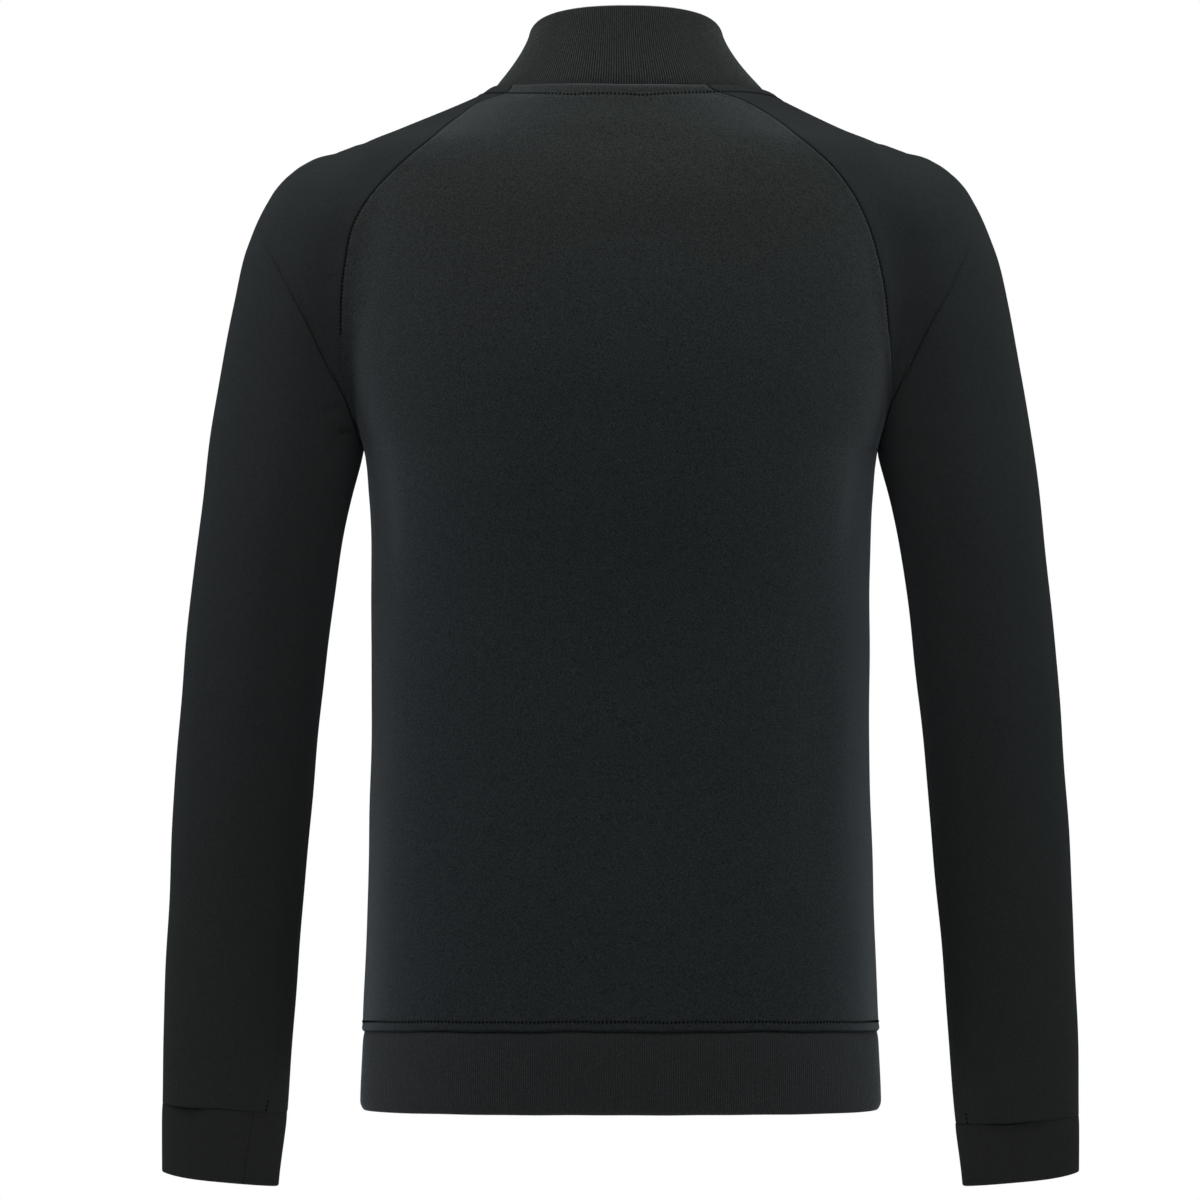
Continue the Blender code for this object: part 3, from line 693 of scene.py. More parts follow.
def eased(upper, lower, rise):
    """Directions that turn from the lower form's to the upper form's with a rise from 0 to 1."""
    return unit(lower + (upper - lower) * gentle(np.clip(rise, 0, 1))[..., None])


def neck_to_armpit(coarsest):
    """Shares of a raglan seam's length for a piece's rows, closer at the neck and its topstitch."""
    shares = graded(RAGLAN_LENGTH, coarsest, (True, False))
    return with_close_steps(shares, *NECK_STITCHED)


def panel_grid(face):
    """The back's (face 1) or front's (face -1) points and directions, from the hem seam to the neck."""
    columns = graded(PANEL_WIDTH, PANEL_STEP)
    seam_shares = neck_to_armpit(UPPER_PANEL_STEP)
    drop = ARMPIT_HEIGHT - HEM_SEAM_HEIGHT
    shares = graded(drop, LOWER_PANEL_STEP, (True, False))[:-1]
    stitched = HEM_STRIP.width / drop
    shares = with_close_steps(shares, stitched - CLOSE_REACH, stitched + CLOSE_REACH)
    heights = HEM_SEAM_HEIGHT + drop * shares
    below, above = panel_below(face, heights, columns), panel_above(face, seam_shares, columns)
    grid = np.concatenate([below, above])
    rise = (grid[..., 2] - ARMPIT_HEIGHT) / NORMAL_RISE
    return grid, eased(outward(outside_body, grid), outward(outside_torso, grid), rise)


def cut(outside, middle, ahead, across, turn):
    """A form's points at turns about a middle, from ahead towards across."""
    return surface(outside, middle, middle + np.cos(turn) * ahead + np.sin(turn) * across)


def sections(start, end, over):
    """The body's cuts from start, round by the point over, to end, in the planes of the three."""
    seat = (start + end) / 2
    middle = seat + SECTION_MIDDLE * (over - seat)
    ahead = unit(over - middle)
    across = end - start
    across = unit(across - (across * ahead).sum(axis=-1, keepdims=True) * ahead)
    turns = []
    for p in (start, end):
        side, front = ((p - middle) * across).sum(axis=-1), ((p - middle) * ahead).sum(axis=-1)
        turns.append(np.arctan2(side, front)[:, None])
    inmost = np.minimum(start[:, 0], end[:, 0])[:, None]
    middle, ahead, across = middle[:, None], ahead[:, None], across[:, None]

    def outside(p):
        return np.maximum(outside_body(p), inmost - p[..., 0])

    def rows(parameter):
        turn = turns[0] + (turns[1] - turns[0]) * parameter
        found = cut(outside, middle, ahead, across, turn[..., None])
        found[:, 0], found[:, -1] = start, end
        return found

    return rows


def arm_rings(heights, tilts, turned):
    """The left arm's rings at middle heights and tilts, each from a place turned from the underarm."""
    middle_x = (column(ARM, "inner", heights) + column(ARM, "outer", heights)) / 2
    middle = points(middle_x, column(ARM, "middle", heights), heights)[:, None]
    ahead = points(np.cos(tilts), 0.0, np.sin(tilts))[:, None]
    across = np.array((0.0, 1.0, 0.0))

    def rows(parameter):
        turn = (2 * parameter - 1) * math.pi - turned[:, None]
        return cut(outside_arm, middle, ahead, across, turn[..., None] + 0 * middle[..., :1])

    return rows


def neck_edge(side, front, back):
    """The part of the neck seam that a sleeve takes, from its front seam to its back one."""
    ends = [math.degrees(math.atan2(end[0], end[1])) for end in (front, back)]

    def rows(parameter):
        found = neck_seam(ends[0] + (ends[1] - ends[0]) * parameter, (side, side))
        found[:, 0], found[:, -1] = front, back
        return found

    return rows


def fold_crossings(side, grid, columns):
    """Where a sleeve's rows cross its two armpit folds, as shares of them, and how much that counts."""
    places, pulls = [], []
    number = np.arange(len(grid))
    window = np.ones(2 * FOLD_SMOOTHING + 1) / (2 * FOLD_SMOOTHING + 1)
    for half in (columns < 0.5, columns > 0.5):
        x, z = np.abs(grid[:, half, 0]), grid[:, half, 2]
        apart, along, _ = nearest_on(x, z, fold_line(side))
        nearest = apart.argmin(axis=1)
        reached = along[number, nearest]
        crossed = (apart.min(axis=1) < FOLD_MET) & (reached > 0) & (reached < 1)
        place = np.interp(number, number[crossed], columns[half][nearest[crossed]])
        place = np.convolve(np.pad(place, FOLD_SMOOTHING, mode="edge"), window, mode="valid")
        away = np.abs(number[:, None] - number[crossed]).min(axis=1)
        places.append(place)
        pulls.append(bell(away, FOLD_FADE))
    return np.stack(places, axis=1), np.stack(pulls, axis=1)


def sleeve_blocks(side, front, back, seam_shares):
    """A sleeve's rows: its neck edge, the sections down to the armpit, and the rings below it."""
    half_width = (column(ARM, "outer", ARMPIT_HEIGHT) - ARMPIT_HALF_WIDTH) / 2
    armpit = ARMPIT_HEIGHT + half_width * math.tan(ARMPIT_TILT)
    first_ring = arm_rings(np.array([armpit]), np.array([ARMPIT_TILT]), np.zeros(1))
    outermost = first_ring(np.array([[0.5]]))[0, 0]
    ridge_heights = np.linspace(column(NECK_SEAM, side, 90), outermost[2], 2 * FINE)
    inside = points(COLLAR_TOP_HALF_WIDTH, 0.0, ridge_heights)
    ridge = at_shares(surface(outside_body, inside, inside + (1, 0, 0)), seam_shares)
    drop = armpit - CUFF_SEAM_HEIGHT[side]
    shares = graded(drop, LOWER_SLEEVE_STEP, (False, True))
    tilts = ARMPIT_TILT + shares * (CUFF_SEAM_TILT - ARMPIT_TILT)
    heights = armpit - shares * drop
    below = (SEAM_TURNS_FROM - heights) / (SEAM_TURNS_FROM - heights[-1])
    return (
        neck_edge(side, front[0], back[0]),
        sections(front[1:-1], back[1:-1], ridge[1:-1]),
        arm_rings(heights, tilts, SEAM_TURN[side] * np.clip(below, 0, 1)),
    )


def sleeve_grid(side):
    """A sleeve's points and directions, from the neck to the cuff seam, and its number of open rows."""
    seam_shares = neck_to_armpit(UPPER_SLEEVE_STEP)
    open_count = len(seam_shares) - 1
    front, back = raglan(side, -1, seam_shares), raglan(side, 1, seam_shares)
    blocks = sleeve_blocks(side, front, back, seam_shares)
    columns = graded(SLEEVE_WIDTH, UPPER_SLEEVE_STEP)
    even = np.concatenate([spaced(rows, columns) for rows in blocks])
    drawn = drawn_to(columns, *fold_crossings(side, even, columns))
    parts = np.split(drawn, (1, open_count))
    grid = np.concatenate([spaced(rows, part) for rows, part in zip(blocks, parts)])
    grid[open_count, [0, -1]] = (ARMPIT_HALF_WIDTH, 0, ARMPIT_HEIGHT)
    along = lengths(front)
    rise = np.zeros((len(grid), 1))
    rise[:open_count, 0] = (along[-1] - along[:-1]) / NORMAL_RISE
    normals = eased(outward(outside_body, grid), outward(outside_arm, grid), rise)
    return grid * MIRROR[side], normals * MIRROR[side], open_count


# ---------------------------------------------------------------- relief


def from_edges(grid):
    """How far each point of a grid is from its first and last column, and first and last row."""
    across, down = lengths(grid), lengths_down(grid)
    return across, across[:, -1:] - across, down, down[-1:] - down


def turned_in(distance):
    """A seam's edge, rolled in."""
    return -LIP_DEPTH * bell(distance, LIP_REACH)


def topstitched(distance, strip):
    """A seam whose allowance is stitched down beside it: a padded strip, and the stitches' groove."""
    padding = strip.rise * bell(distance / strip.width - PADDED_AT, PADDED_REACH)
    groove = -STITCH_SINK * bell(distance - strip.width, STITCH_SINK_REACH)
    return turned_in(distance) + padding + groove


def neck_strip(p):
    """The strip below the neck seam, which is wider towards the sides."""
    aside = np.clip(np.abs(p[..., 0]) / NECK_CORNER, 0, 1)
    return Strip(NECK_STRIP.width + NECK_STRIP_WIDENING * aside**2, NECK_STRIP.rise)


def close_stitched(distance):
    """A seam with its stitches in it, and a faint edge where its allowance ends."""
    return turned_in(distance) + ALLOWANCE_RISE * bell(distance - ALLOWANCE_PLACE, ALLOWANCE_WIDTH)


def nearest_on(x, z, line):
    """How far points are from a line, how far along it they are from 0 to 1, and on which side."""
    line = np.array(line)
    total = np.linalg.norm(np.diff(line, axis=0), axis=1).sum()
    best, along, side, done = np.full(x.shape, 9.0), np.zeros(x.shape), np.zeros(x.shape), 0.0
    for a, b in zip(line, line[1:]):
        run, drop = b - a
        length = math.hypot(run, drop)
        t = np.clip(((x - a[0]) * run + (z - a[1]) * drop) / length**2, 0, 1)
        apart = np.hypot(x - a[0] - t * run, z - a[1] - t * drop)
        nearer = apart < best
        best = np.where(nearer, apart, best)
        along = np.where(nearer, (done + t * length) / total, along)
        side = np.where(nearer, np.sign(drop * -(x - a[0]) + run * (z - a[1])), side)
        done += length
    return best, along, side


def fold_line(side):
    return [(getattr(fold, side), fold.z) for fold in ARMPIT_FOLD]


def armpit_fold(side, p):
    """The cloth's height along the armpit folds of one side, and how dark its painted shade is there."""
    line = fold_line(side)
    apart, along, which = nearest_on(np.abs(p[..., 0]), p[..., 2], line)
    places = lengths(np.array(line))
    names = ("step", "line", "crevice")
    tables = ([getattr(fold, name) for fold in ARMPIT_FOLD] for name in names)
    step, painted_line_shade, crevice = (smooth(along, places / places[-1], table) for table in tables)
    beyond = apart * which
    on_arm = 0.5 + 0.5 * np.tanh(beyond / FOLD_EDGE)
    swell = step * on_arm * np.exp(-((np.maximum(beyond, 0) / FOLD_REACH) ** 1.3))
    cleft = crevice * bell(beyond, CREVICE_WIDTH)
    beside = painted_line_shade * bell(beyond - FOLD_LINE, FOLD_LINE_WIDTH)
    return swell - CREVICE_DEPTH * cleft, np.maximum(cleft, beside)


def on_side(p, middle_y, face, reach):
    """How much points belong to a piece's back (face 1) or front (face -1), from 0 to 1."""
    return np.clip((p[..., 1] - middle_y) * face / reach, 0, 1)


def creased(name, p, middle_y):
    """The listed troughs and ridges of a piece."""
    height = np.zeros(p.shape[:-1])
    for face in (1, -1):
        facing = on_side(p, middle_y, face, CREASE_FACING)
        for crease in CREASES.get((name, face), ()):
            apart, along, _ = nearest_on(p[..., 0], p[..., 2], crease.line)
            fade = np.sin(np.pi * np.clip(along, 0.02, 0.98)) ** 0.8
            height += crease.depth * fade * facing * bell(apart, crease.width)
    return height


def seam_shade(distance, reach=SEAM_SHADE_REACH):
    """How much of a seam's dark thread and painted shade shows, from 0 to 1."""
    return bell(distance, reach)


def strip_shade(distance, strip, at_seam):
    """The same for a topstitched seam, with a faint line of painted shade along its stitches' groove."""
    stitched = STITCHED_SHADE * seam_shade(distance - strip.width, STITCHED_SHADE_REACH)
    return np.maximum(at_seam * seam_shade(distance), stitched)


def cuff_shade(distance, opened):
    """The same for a cuff seam, with painted shadow where it stands open."""
    reach = SEAM_SHADE_REACH + OPEN_SHADE_SPREAD * opened
    return np.minimum(CUFF_SHADE + opened / OPEN_SHADE_LIFT, 1) * seam_shade(distance, reach)


def raglan_shade(p, beside):
    """The same for a raglan seam, whose painted shade is lighter beside the armpit."""
    seam_darkness = smooth(p[..., 2], RAGLAN_SHADE_HEIGHTS, RAGLAN_SHADES)
    return seam_darkness * seam_shade(beside, RAGLAN_SHADE_REACH)


def unevenness(p):
    """The slight waves of cloth that isn't pulled tight."""
    x, y, z = np.moveaxis(p, -1, 0)
    wide = np.sin(23 * x + 9 * y + 31 * z + 0.6) * np.sin(17 * z - 26 * x + 12 * y + 1.9)
    close = np.sin(61 * x + 40 * y - 37 * z + 2.2) * np.sin(52 * z + 33 * x + 0.4)
    return WIDE_WAVES * wide + CLOSE_WAVES * close


def gap_lift(name, p, middle_y, to_cuff):
    """Where a sleeve's lower edge stands off its cuff: how far off, and how far down."""
    lift, drop = np.zeros(p.shape[:-1]), np.zeros(p.shape[:-1])
    for gap in CUFF_GAPS:
        if gap.piece == name:
            near = on_side(p, middle_y, gap.face, GAP_FACING)
            near *= bell(p[..., 0] - gap.x, gap.width) * bell(to_cuff, GAP_RISE)
            lift += gap.lift * near
            drop += gap.drop * near
    return lift, drop


def held_at_armpit(p, beside):
    """How far the relief of a piece shows: not at all where its seams meet in the armpit."""
    return 1 - bell(p[..., 2] - ARMPIT_HEIGHT, ARMPIT_HOLD) * bell(beside, ARMPIT_HOLD_WIDTH)


def leaned(p):
    """The garment with its neck moved aside."""
    rise = np.clip((p[..., 2] - NECK_LEAN_FROM) / (NECK_LEAN_TO - NECK_LEAN_FROM), 0, 1)
    p = p.copy()
    p[..., 0] -= NECK_LEAN * gentle(rise)
    return p


def hem_shade(p):
    """How dark the painted shadow in the hem seam is, round the body: less at the sides."""
    share = np.clip(np.abs(p[..., 1]) / HEM_SHADE_DEPTH, 0, 1)
    return HEM_SIDE_SHADE + (1 - HEM_SIDE_SHADE) * share**2


def hem_fall(p):
    """The slight rise and fall of the hem seam, and how it hangs lower at the sides."""
    around = p[..., 0] + 0.4 * np.sign(p[..., 1])
    wave = HEM_WAVE * (np.sin(61 * around + 0.8) + np.sin(143 * around + 2.1))
    return wave - SIDE_FALL * (1 - np.abs(p[..., 1]) / TORSO[1].back)


# ---------------------------------------------------------------- meshes


def cyclic_faces(index):
    corners = (index[:-1, :-1], index[1:, :-1], index[1:, 1:], index[:-1, 1:])
    return np.stack(corners, axis=-1).reshape(-1, 4)


def add_metres(mesh, across, down):
    """A UV layer in metres on the cloth, for its knit."""
    layer = mesh.uv_layers.new(name="cloth")
    corner = np.empty(len(mesh.loops), int)
    mesh.loops.foreach_get("vertex_index", corner)
    metres = np.stack([across[corner], down[corner]], axis=-1)
    layer.data.foreach_set("uv", metres.astype(np.float32).ravel())


def made_mesh(name, vertices, faces, material, across=None, down=None, shade=None):
    mesh = bpy.data.meshes.new(name)
    mesh.from_pydata(vertices.tolist(), [], faces)
    mesh.materials.append(material)
    mesh.shade_smooth()
    if across is not None:
        add_metres(mesh, across, down)
        # The seam layer: dark thread and painted shade, from 0 to 1.
        layer = mesh.attributes.new("seam", "FLOAT", "POINT")
        layer.data.foreach_set("value", shade.astype(np.float32))
    piece = bpy.data.objects.new(name, mesh)
    bpy.context.scene.collection.objects.link(piece)
    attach(piece, "root")
    return piece


def shell(name, material, grid, normals, shade, ring_rows=0):
    """A closed piece of cloth whose outer side is a grid of points, with rings as its last ring_rows."""
    rows, columns = grid.shape[:2]
    across, _, down, _ = from_edges(grid)
    across = across - across[:, columns // 2, None]
    index = np.arange(rows * columns).reshape(rows, columns)
    if ring_rows:
        index[-ring_rows:, -1] = index[-ring_rows:, 0]
    faces = cyclic_faces(index)
    used, faces = np.unique(faces, return_inverse=True)
    outer, normals = grid.reshape(-1, 3)[used], normals.reshape(-1, 3)[used]
    across, down, shade = (np.tile(layer.reshape(-1)[used], 2) for layer in (across, down, shade))
    faces = faces.reshape(-1, 4)
    middle_face = faces[len(faces) // 2]
    a, b, c, d = outer[middle_face]
    if np.cross(c - a, d - b) @ normals[middle_face[0]] < 0:
        faces = faces[:, ::-1]
    faces = faces.tolist()
    inner_faces = [[v + len(outer) for v in reversed(face)] for face in faces]
    sides = [(a, b) for face in faces for a, b in zip(face, face[1:] + face[:1])]
    both_ways = set(sides)
    rim = [[b, a, a + len(outer), b + len(outer)] for a, b in sides if (b, a) not in both_ways]
    vertices = np.vstack([outer, outer - PANEL_WALL * normals])
    return made_mesh(name, vertices, faces + inner_faces + rim, material, across, down, shade)


# ---------------------------------------------------------------- the cloth pieces


def body_panel(name, face, material):
    grid, normals = panel_grid(face)
    first, last, from_hem, from_neck = from_edges(grid)
    beside = np.minimum(first, last)
    above = grid[..., 2] > ARMPIT_HEIGHT
    relief = np.where(above, close_stitched(beside), turned_in(beside))
    relief += topstitched(from_hem, HEM_STRIP) + topstitched(from_neck, neck_strip(grid))
    fold, fold_shade = np.where(grid[..., 0] > 0, armpit_fold("left", grid), armpit_fold("right", grid))
    relief += fold + creased(name, grid, 0.0) + unevenness(grid)
    relief *= held_at_armpit(grid, beside)
    shaped = leaned(grid + normals * relief[..., None])
    shaped[..., 2] += hem_fall(grid) * bell(from_hem, FALL_REACH)
    # Painted shade: the seams' thread and grooves, the shadow in the hem seam, and the armpit fold's
    # crevice and line.
    shades = (
        strip_shade(from_hem, HEM_STRIP, hem_shade(grid)),
        strip_shade(from_neck, neck_strip(grid), NECK_SHADE),
        np.where(above, raglan_shade(grid, beside), 0),
        fold_shade,
    )
    panel = shell(f"{name}_cloth", material, shaped, normals, np.maximum.reduce(shades))
    return panel, shaped, normals, (beside, from_hem, from_neck)


def sleeve(side, material):
    name = f"sleeve_{side}"
    grid, normals, open_count = sleeve_grid(side)
    first, last, from_neck, from_cuff = from_edges(grid)
    beside = np.minimum(first, last)
    open_row = np.arange(len(grid))[:, None] < open_count
    middle_y = column(ARM, "middle", grid[..., 2])
    relief = np.where(open_row, close_stitched(beside), UNDERARM_LIP * turned_in(beside))
    relief += topstitched(from_neck, neck_strip(grid)) + CUFF_LIP * turned_in(from_cuff)
    fold, fold_shade = armpit_fold(side, grid)
    relief += fold + creased(name, grid, middle_y) + unevenness(grid)
    opened, dropped = gap_lift(name, grid, middle_y, from_cuff)
    relief += opened
    relief *= held_at_armpit(grid, beside)
    shaped = leaned(grid + normals * relief[..., None])
    shaped[..., 2] -= dropped
    # Painted shade: the seams' thread and grooves, the shadow in the cuff's gaps, and the armpit fold's
    # crevice and line.
    shades = (
        np.where(open_row, raglan_shade(grid, beside), UNDERARM_SHADE * seam_shade(beside)),
        strip_shade(from_neck, neck_strip(grid), NECK_SHADE),
        cuff_shade(from_cuff, opened),
        fold_shade,
    )
    ring_rows = len(grid) - open_count
    piece = shell(f"{name}_cloth", material, shaped, normals, np.maximum.reduce(shades), ring_rows)
    return piece, shaped, normals, (from_neck, from_cuff)


# ---------------------------------------------------------------- ribs


def past_neighbours(grid, axis):
    """The way from the point before each point to the one after it, in a closed row."""
    return np.roll(grid, -1, axis=axis) - np.roll(grid, 1, axis=axis)


def turned_out(normals, rings):
    """The directions of rings, the right way round for their outer side."""
    outwards = (normals[: len(rings)] * (rings - rings.mean(axis=(0, 1)))).sum() > 0
    return normals if outwards else -normals


def band_normals(rings):
    return turned_out(unit(np.cross(past_neighbours(rings, 1), np.gradient(rings, axis=0))), rings)


def band_profile(rings, wall):
    """A doubled band's rings: down its outer side, round its folded edge and back up inside."""
    normals = band_normals(rings)
    ahead = unit(rings[-1] - rings[-2])
    edge = rings[-1] - normals[-1] * wall / 2
    turns = np.radians(EDGE_TURNS)[:, None, None]
    fold = edge + wall / 2 * (np.cos(turns) * normals[-1] + np.sin(turns) * ahead)
    inner = (rings - normals * wall)[::-1]
    return np.concatenate([rings, fold, inner[:-1:INNER_ROWS], inner[-1:]])


def rib(name, node, material, rings, shade, depth):
    """A band of doubled rib through rings of points from its seam to its folded edge."""
    grid = band_profile(rings, RIB_WALL)
    normals = turned_out(unit(np.cross(past_neighbours(grid, 1), past_neighbours(grid, 0))), rings)
    rows, columns = grid.shape[:2]
    waves = 0.5 * np.cos(2 * math.pi * np.arange(columns) / RIB_COLUMNS) - 0.5
    shaped = grid + normals * (depth * waves)[:, None]
    index = np.arange(rows * columns).reshape(rows, columns)
    faces = cyclic_faces(np.pad(index, ((0, 1), (0, 1)), mode="wrap"))
    a, b, c, d = shaped.reshape(-1, 3)[faces[0]]
    if np.cross(c - a, d - b) @ normals[0, 0] < 0:
        faces = faces[:, ::-1]
    around = np.arange(columns) / RIB_COLUMNS * BAND_RIB + np.zeros((rows, 1))
    down = lengths_down(grid)
    shade = np.concatenate([shade, np.zeros((rows - len(shade), columns))])
    layers = (layer.reshape(-1) for layer in (around, down, shade))
    piece = made_mesh(name, shaped.reshape(-1, 3), faces.tolist(), material, *layers)
    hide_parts(node)
    return piece


def even_ring(line, count):
    """A closed ring's points, evenly spaced, without its last point, which is its first."""
    return at_shares(line, np.arange(count) / count)


def rib_count(line, pitch):
    """How many grid columns the whole ribs round a ring take."""
    return RIB_COLUMNS * round(lengths(line)[-1] / pitch)


def band_rings(lines):
    """A band's rings with a whole number of ribs round them."""
    count = rib_count(lines[0], BAND_RIB)
    return np.array([even_ring(line, count) for line in lines])


def stepped_in(rings, from_seam, depth):
    """Rings sunk below the body cloth that laps over their seam."""
    sink = depth * np.exp(-((from_seam / RIB_SINK_REACH) ** 1.5))
    return rings - band_normals(rings) * sink[..., None]


def collar(material):
    angles = np.linspace(-180, 180, 6 * FINE)
    foot = neck_seam(angles)
    across, ahead = np.sin(np.radians(angles)), np.cos(np.radians(angles))
    reach = np.where(ahead > 0, COLLAR_TOP_BACK, COLLAR_TOP_FRONT)
    height = column(COLLAR_TOP, "height", np.abs(angles)) - RIB_WALL / 2
    top = points(COLLAR_TOP_HALF_WIDTH * across, reach * ahead, height)
    count = rib_count(top, COLLAR_RIB)
    rings = []
    for share in graded(COLLAR_LENGTH, COLLAR_STEP, (True, False)):
        ring = top + (foot - top) * (1 - share) ** COLLAR_FLARE
        ring[:, 2] = foot[:, 2] + share * (top[:, 2] - foot[:, 2])
        rings.append(even_ring(ring, count))
    rings = np.array(rings)
    down = lengths_down(rings)
    rings = leaned(stepped_in(rings, down, RIB_SINK))
    # Painted shade and dark thread at the collar's foot, under the lapping body cloth.
    shade = NECK_SHADE * seam_shade(down)
    return rib("collar_rib", "collar", material, rings, shade, COLLAR_RIB_DEPTH)


def hem_band(material):
    turn = np.linspace(-math.pi, math.pi, 6 * FINE)
    shares = graded(HEM_SEAM_HEIGHT - HEM_HEIGHT, HEM_BAND_STEP)
    heights = HEM_SEAM_HEIGHT + shares * (HEM_HEIGHT + RIB_WALL / 2 - HEM_SEAM_HEIGHT)
    middle = points(0.0, 0.0, heights)[:, None]
    lines = surface(outside_torso, middle, middle + points(np.sin(turn), np.cos(turn), 0.0)[None])
    rings = band_rings(lines)
    from_seam = (HEM_SEAM_HEIGHT - heights)[:, None] + 0 * rings[..., 0]
    rings[..., 2] += hem_fall(rings) * bell(from_seam, FALL_REACH)
    rings = stepped_in(rings, from_seam, RIB_SINK)
    to_edge = (heights - heights[-1])[:, None]
    tuck = HEM_TUCK * np.clip(1 - to_edge / HEM_TUCK_REACH, 0, 1) ** 2.2
    rings[..., :2] -= unit(rings[..., :2]) * tuck[..., None]
    # Painted shadow at the band's top, under the lapping body cloth.
    shade = hem_shade(rings) * seam_shade(from_seam, HEM_SHADE_REACH)
    return rib("hem_rib", "hem_band", material, rings, shade, HEM_RIB_DEPTH)


def cuff(side, material):
    seam = CUFF_SEAM_HEIGHT[side]
    shares = graded(seam - CUFF_HEIGHT, CUFF_STEP)
    heights = seam + shares * (CUFF_HEIGHT + RIB_WALL / 2 - seam)
    tilts = CUFF_SEAM_TILT + shares * (CUFF_TILT - CUFF_SEAM_TILT)
    rows = arm_rings(heights, tilts, np.full(len(heights), SEAM_TURN["left"]))
    lines = rows(np.linspace(0, 1, 2 * FINE)[None, :]) * MIRROR[side]
    rings = band_rings(lines)
    from_seam = (seam - heights)[:, None] + 0 * rings[..., 0]
    rings = stepped_in(rings, from_seam, CUFF_SINK)
    middle = rings.mean(axis=1, keepdims=True)
    share = np.arange(rings.shape[1]) / rings.shape[1]
    apart = np.abs(share - CUFF_JOIN[side]) * lengths(lines[0])[-1]
    outer = np.clip((np.abs(rings[..., 0]) - np.abs(middle[..., 0])) / CUFF_HALF_WIDTH, 0, 1)
    rings[..., 2] += CUFF_CORNER_RISE * outer**3 * shares[:, None]
    rings -= CUFF_JOIN_DEPTH * bell(apart, CUFF_JOIN_REACH)[:, None] * unit(rings - middle)
    # Painted shade at the cuff seam, darker where the gaps open, and along the cuff's join.
    opened, _ = gap_lift(f"sleeve_{side}", rings, middle[..., 1], from_seam)
    join_shade = CUFF_JOIN_SHADE * seam_shade(apart, CUFF_JOIN_REACH)
    shade = np.maximum(cuff_shade(from_seam, opened), join_shade)
    return rib(f"cuff_rib_{side}", f"cuff_{side}", material, rings, shade, CUFF_RIB_DEPTH)


# ---------------------------------------------------------------- stitches


def line_at(grid, normals, distance, wanted):
    """The line of points that lies a wanted distance down each column, with its directions."""
    found, facing = [], []
    wanted = np.broadcast_to(wanted, grid.shape[1])
    for j in range(grid.shape[1]):
        order = np.argsort(distance[:, j], kind="stable")
        near = distance[order, j]
        found.append(read_at(wanted[j], near, grid[order, j]))
        facing.append(read_at(wanted[j], near, normals[order, j]))
    return np.array(found), np.array(facing)


def stitch_template(stitch_width):
    """One stitch along x, arched out of the cloth along z, with both ends sunk."""
    sections_along = np.array((-1.0, -0.75, 0.0, 0.75, 1.0))
    width = np.array((0.70, 1.0, 1.0, 1.0, 0.70))
    height = np.array((-0.5, 0.4, 0.6, 0.4, -0.5))
    turns = np.arange(6) * math.pi / 3
    rings = []
    for at, wide, high in zip(sections_along, width, height):
        across = np.cos(turns) * wide * stitch_width / 2
        outwards = np.sin(turns) * wide * STITCH_HEIGHT / 2
        ring = points(at * STITCH_LENGTH / 2, across, outwards)
        ring[:, 2] += high * STITCH_HEIGHT / 2
        rings.append(ring)
    index = np.pad(np.arange(30).reshape(5, 6), ((0, 0), (0, 1)), mode="wrap")
    sides = cyclic_faces(index)[:, ::-1].tolist()
    ends = [list(range(6)), list(range(29, 23, -1))]
    return np.concatenate(rings), sides + ends


def stitching(name, lines, material, width):
    """Rows of stitches along lines of points with their directions outwards."""
    template, template_faces = stitch_template(width)
    vertices, faces = [], []
    for line, facing in lines:
        along = lengths(line)
        count = int(along[-1] / STITCH_PITCH)
        at = (np.arange(count) + 0.5) * along[-1] / count
        before, after = (read_at(at + step, along, line) for step in (-STITCH_AHEAD, STITCH_AHEAD))
        ahead = unit(after - before)
        aside = unit(np.cross(read_at(at, along, facing), ahead))
        axes = np.stack([ahead, aside, np.cross(ahead, aside)], axis=1)
        made = np.einsum("vk,nkc->nvc", template, axes) + read_at(at, along, line)[:, None]
        base = sum(len(v) for v in vertices)
        vertices.append(made.reshape(-1, 3))
        for n in range(count):
            start = base + n * len(template)
            faces += [[v + start for v in face] for face in template_faces]
    return made_mesh(name, np.concatenate(vertices), faces, material)


# ---------------------------------------------------------------- materials


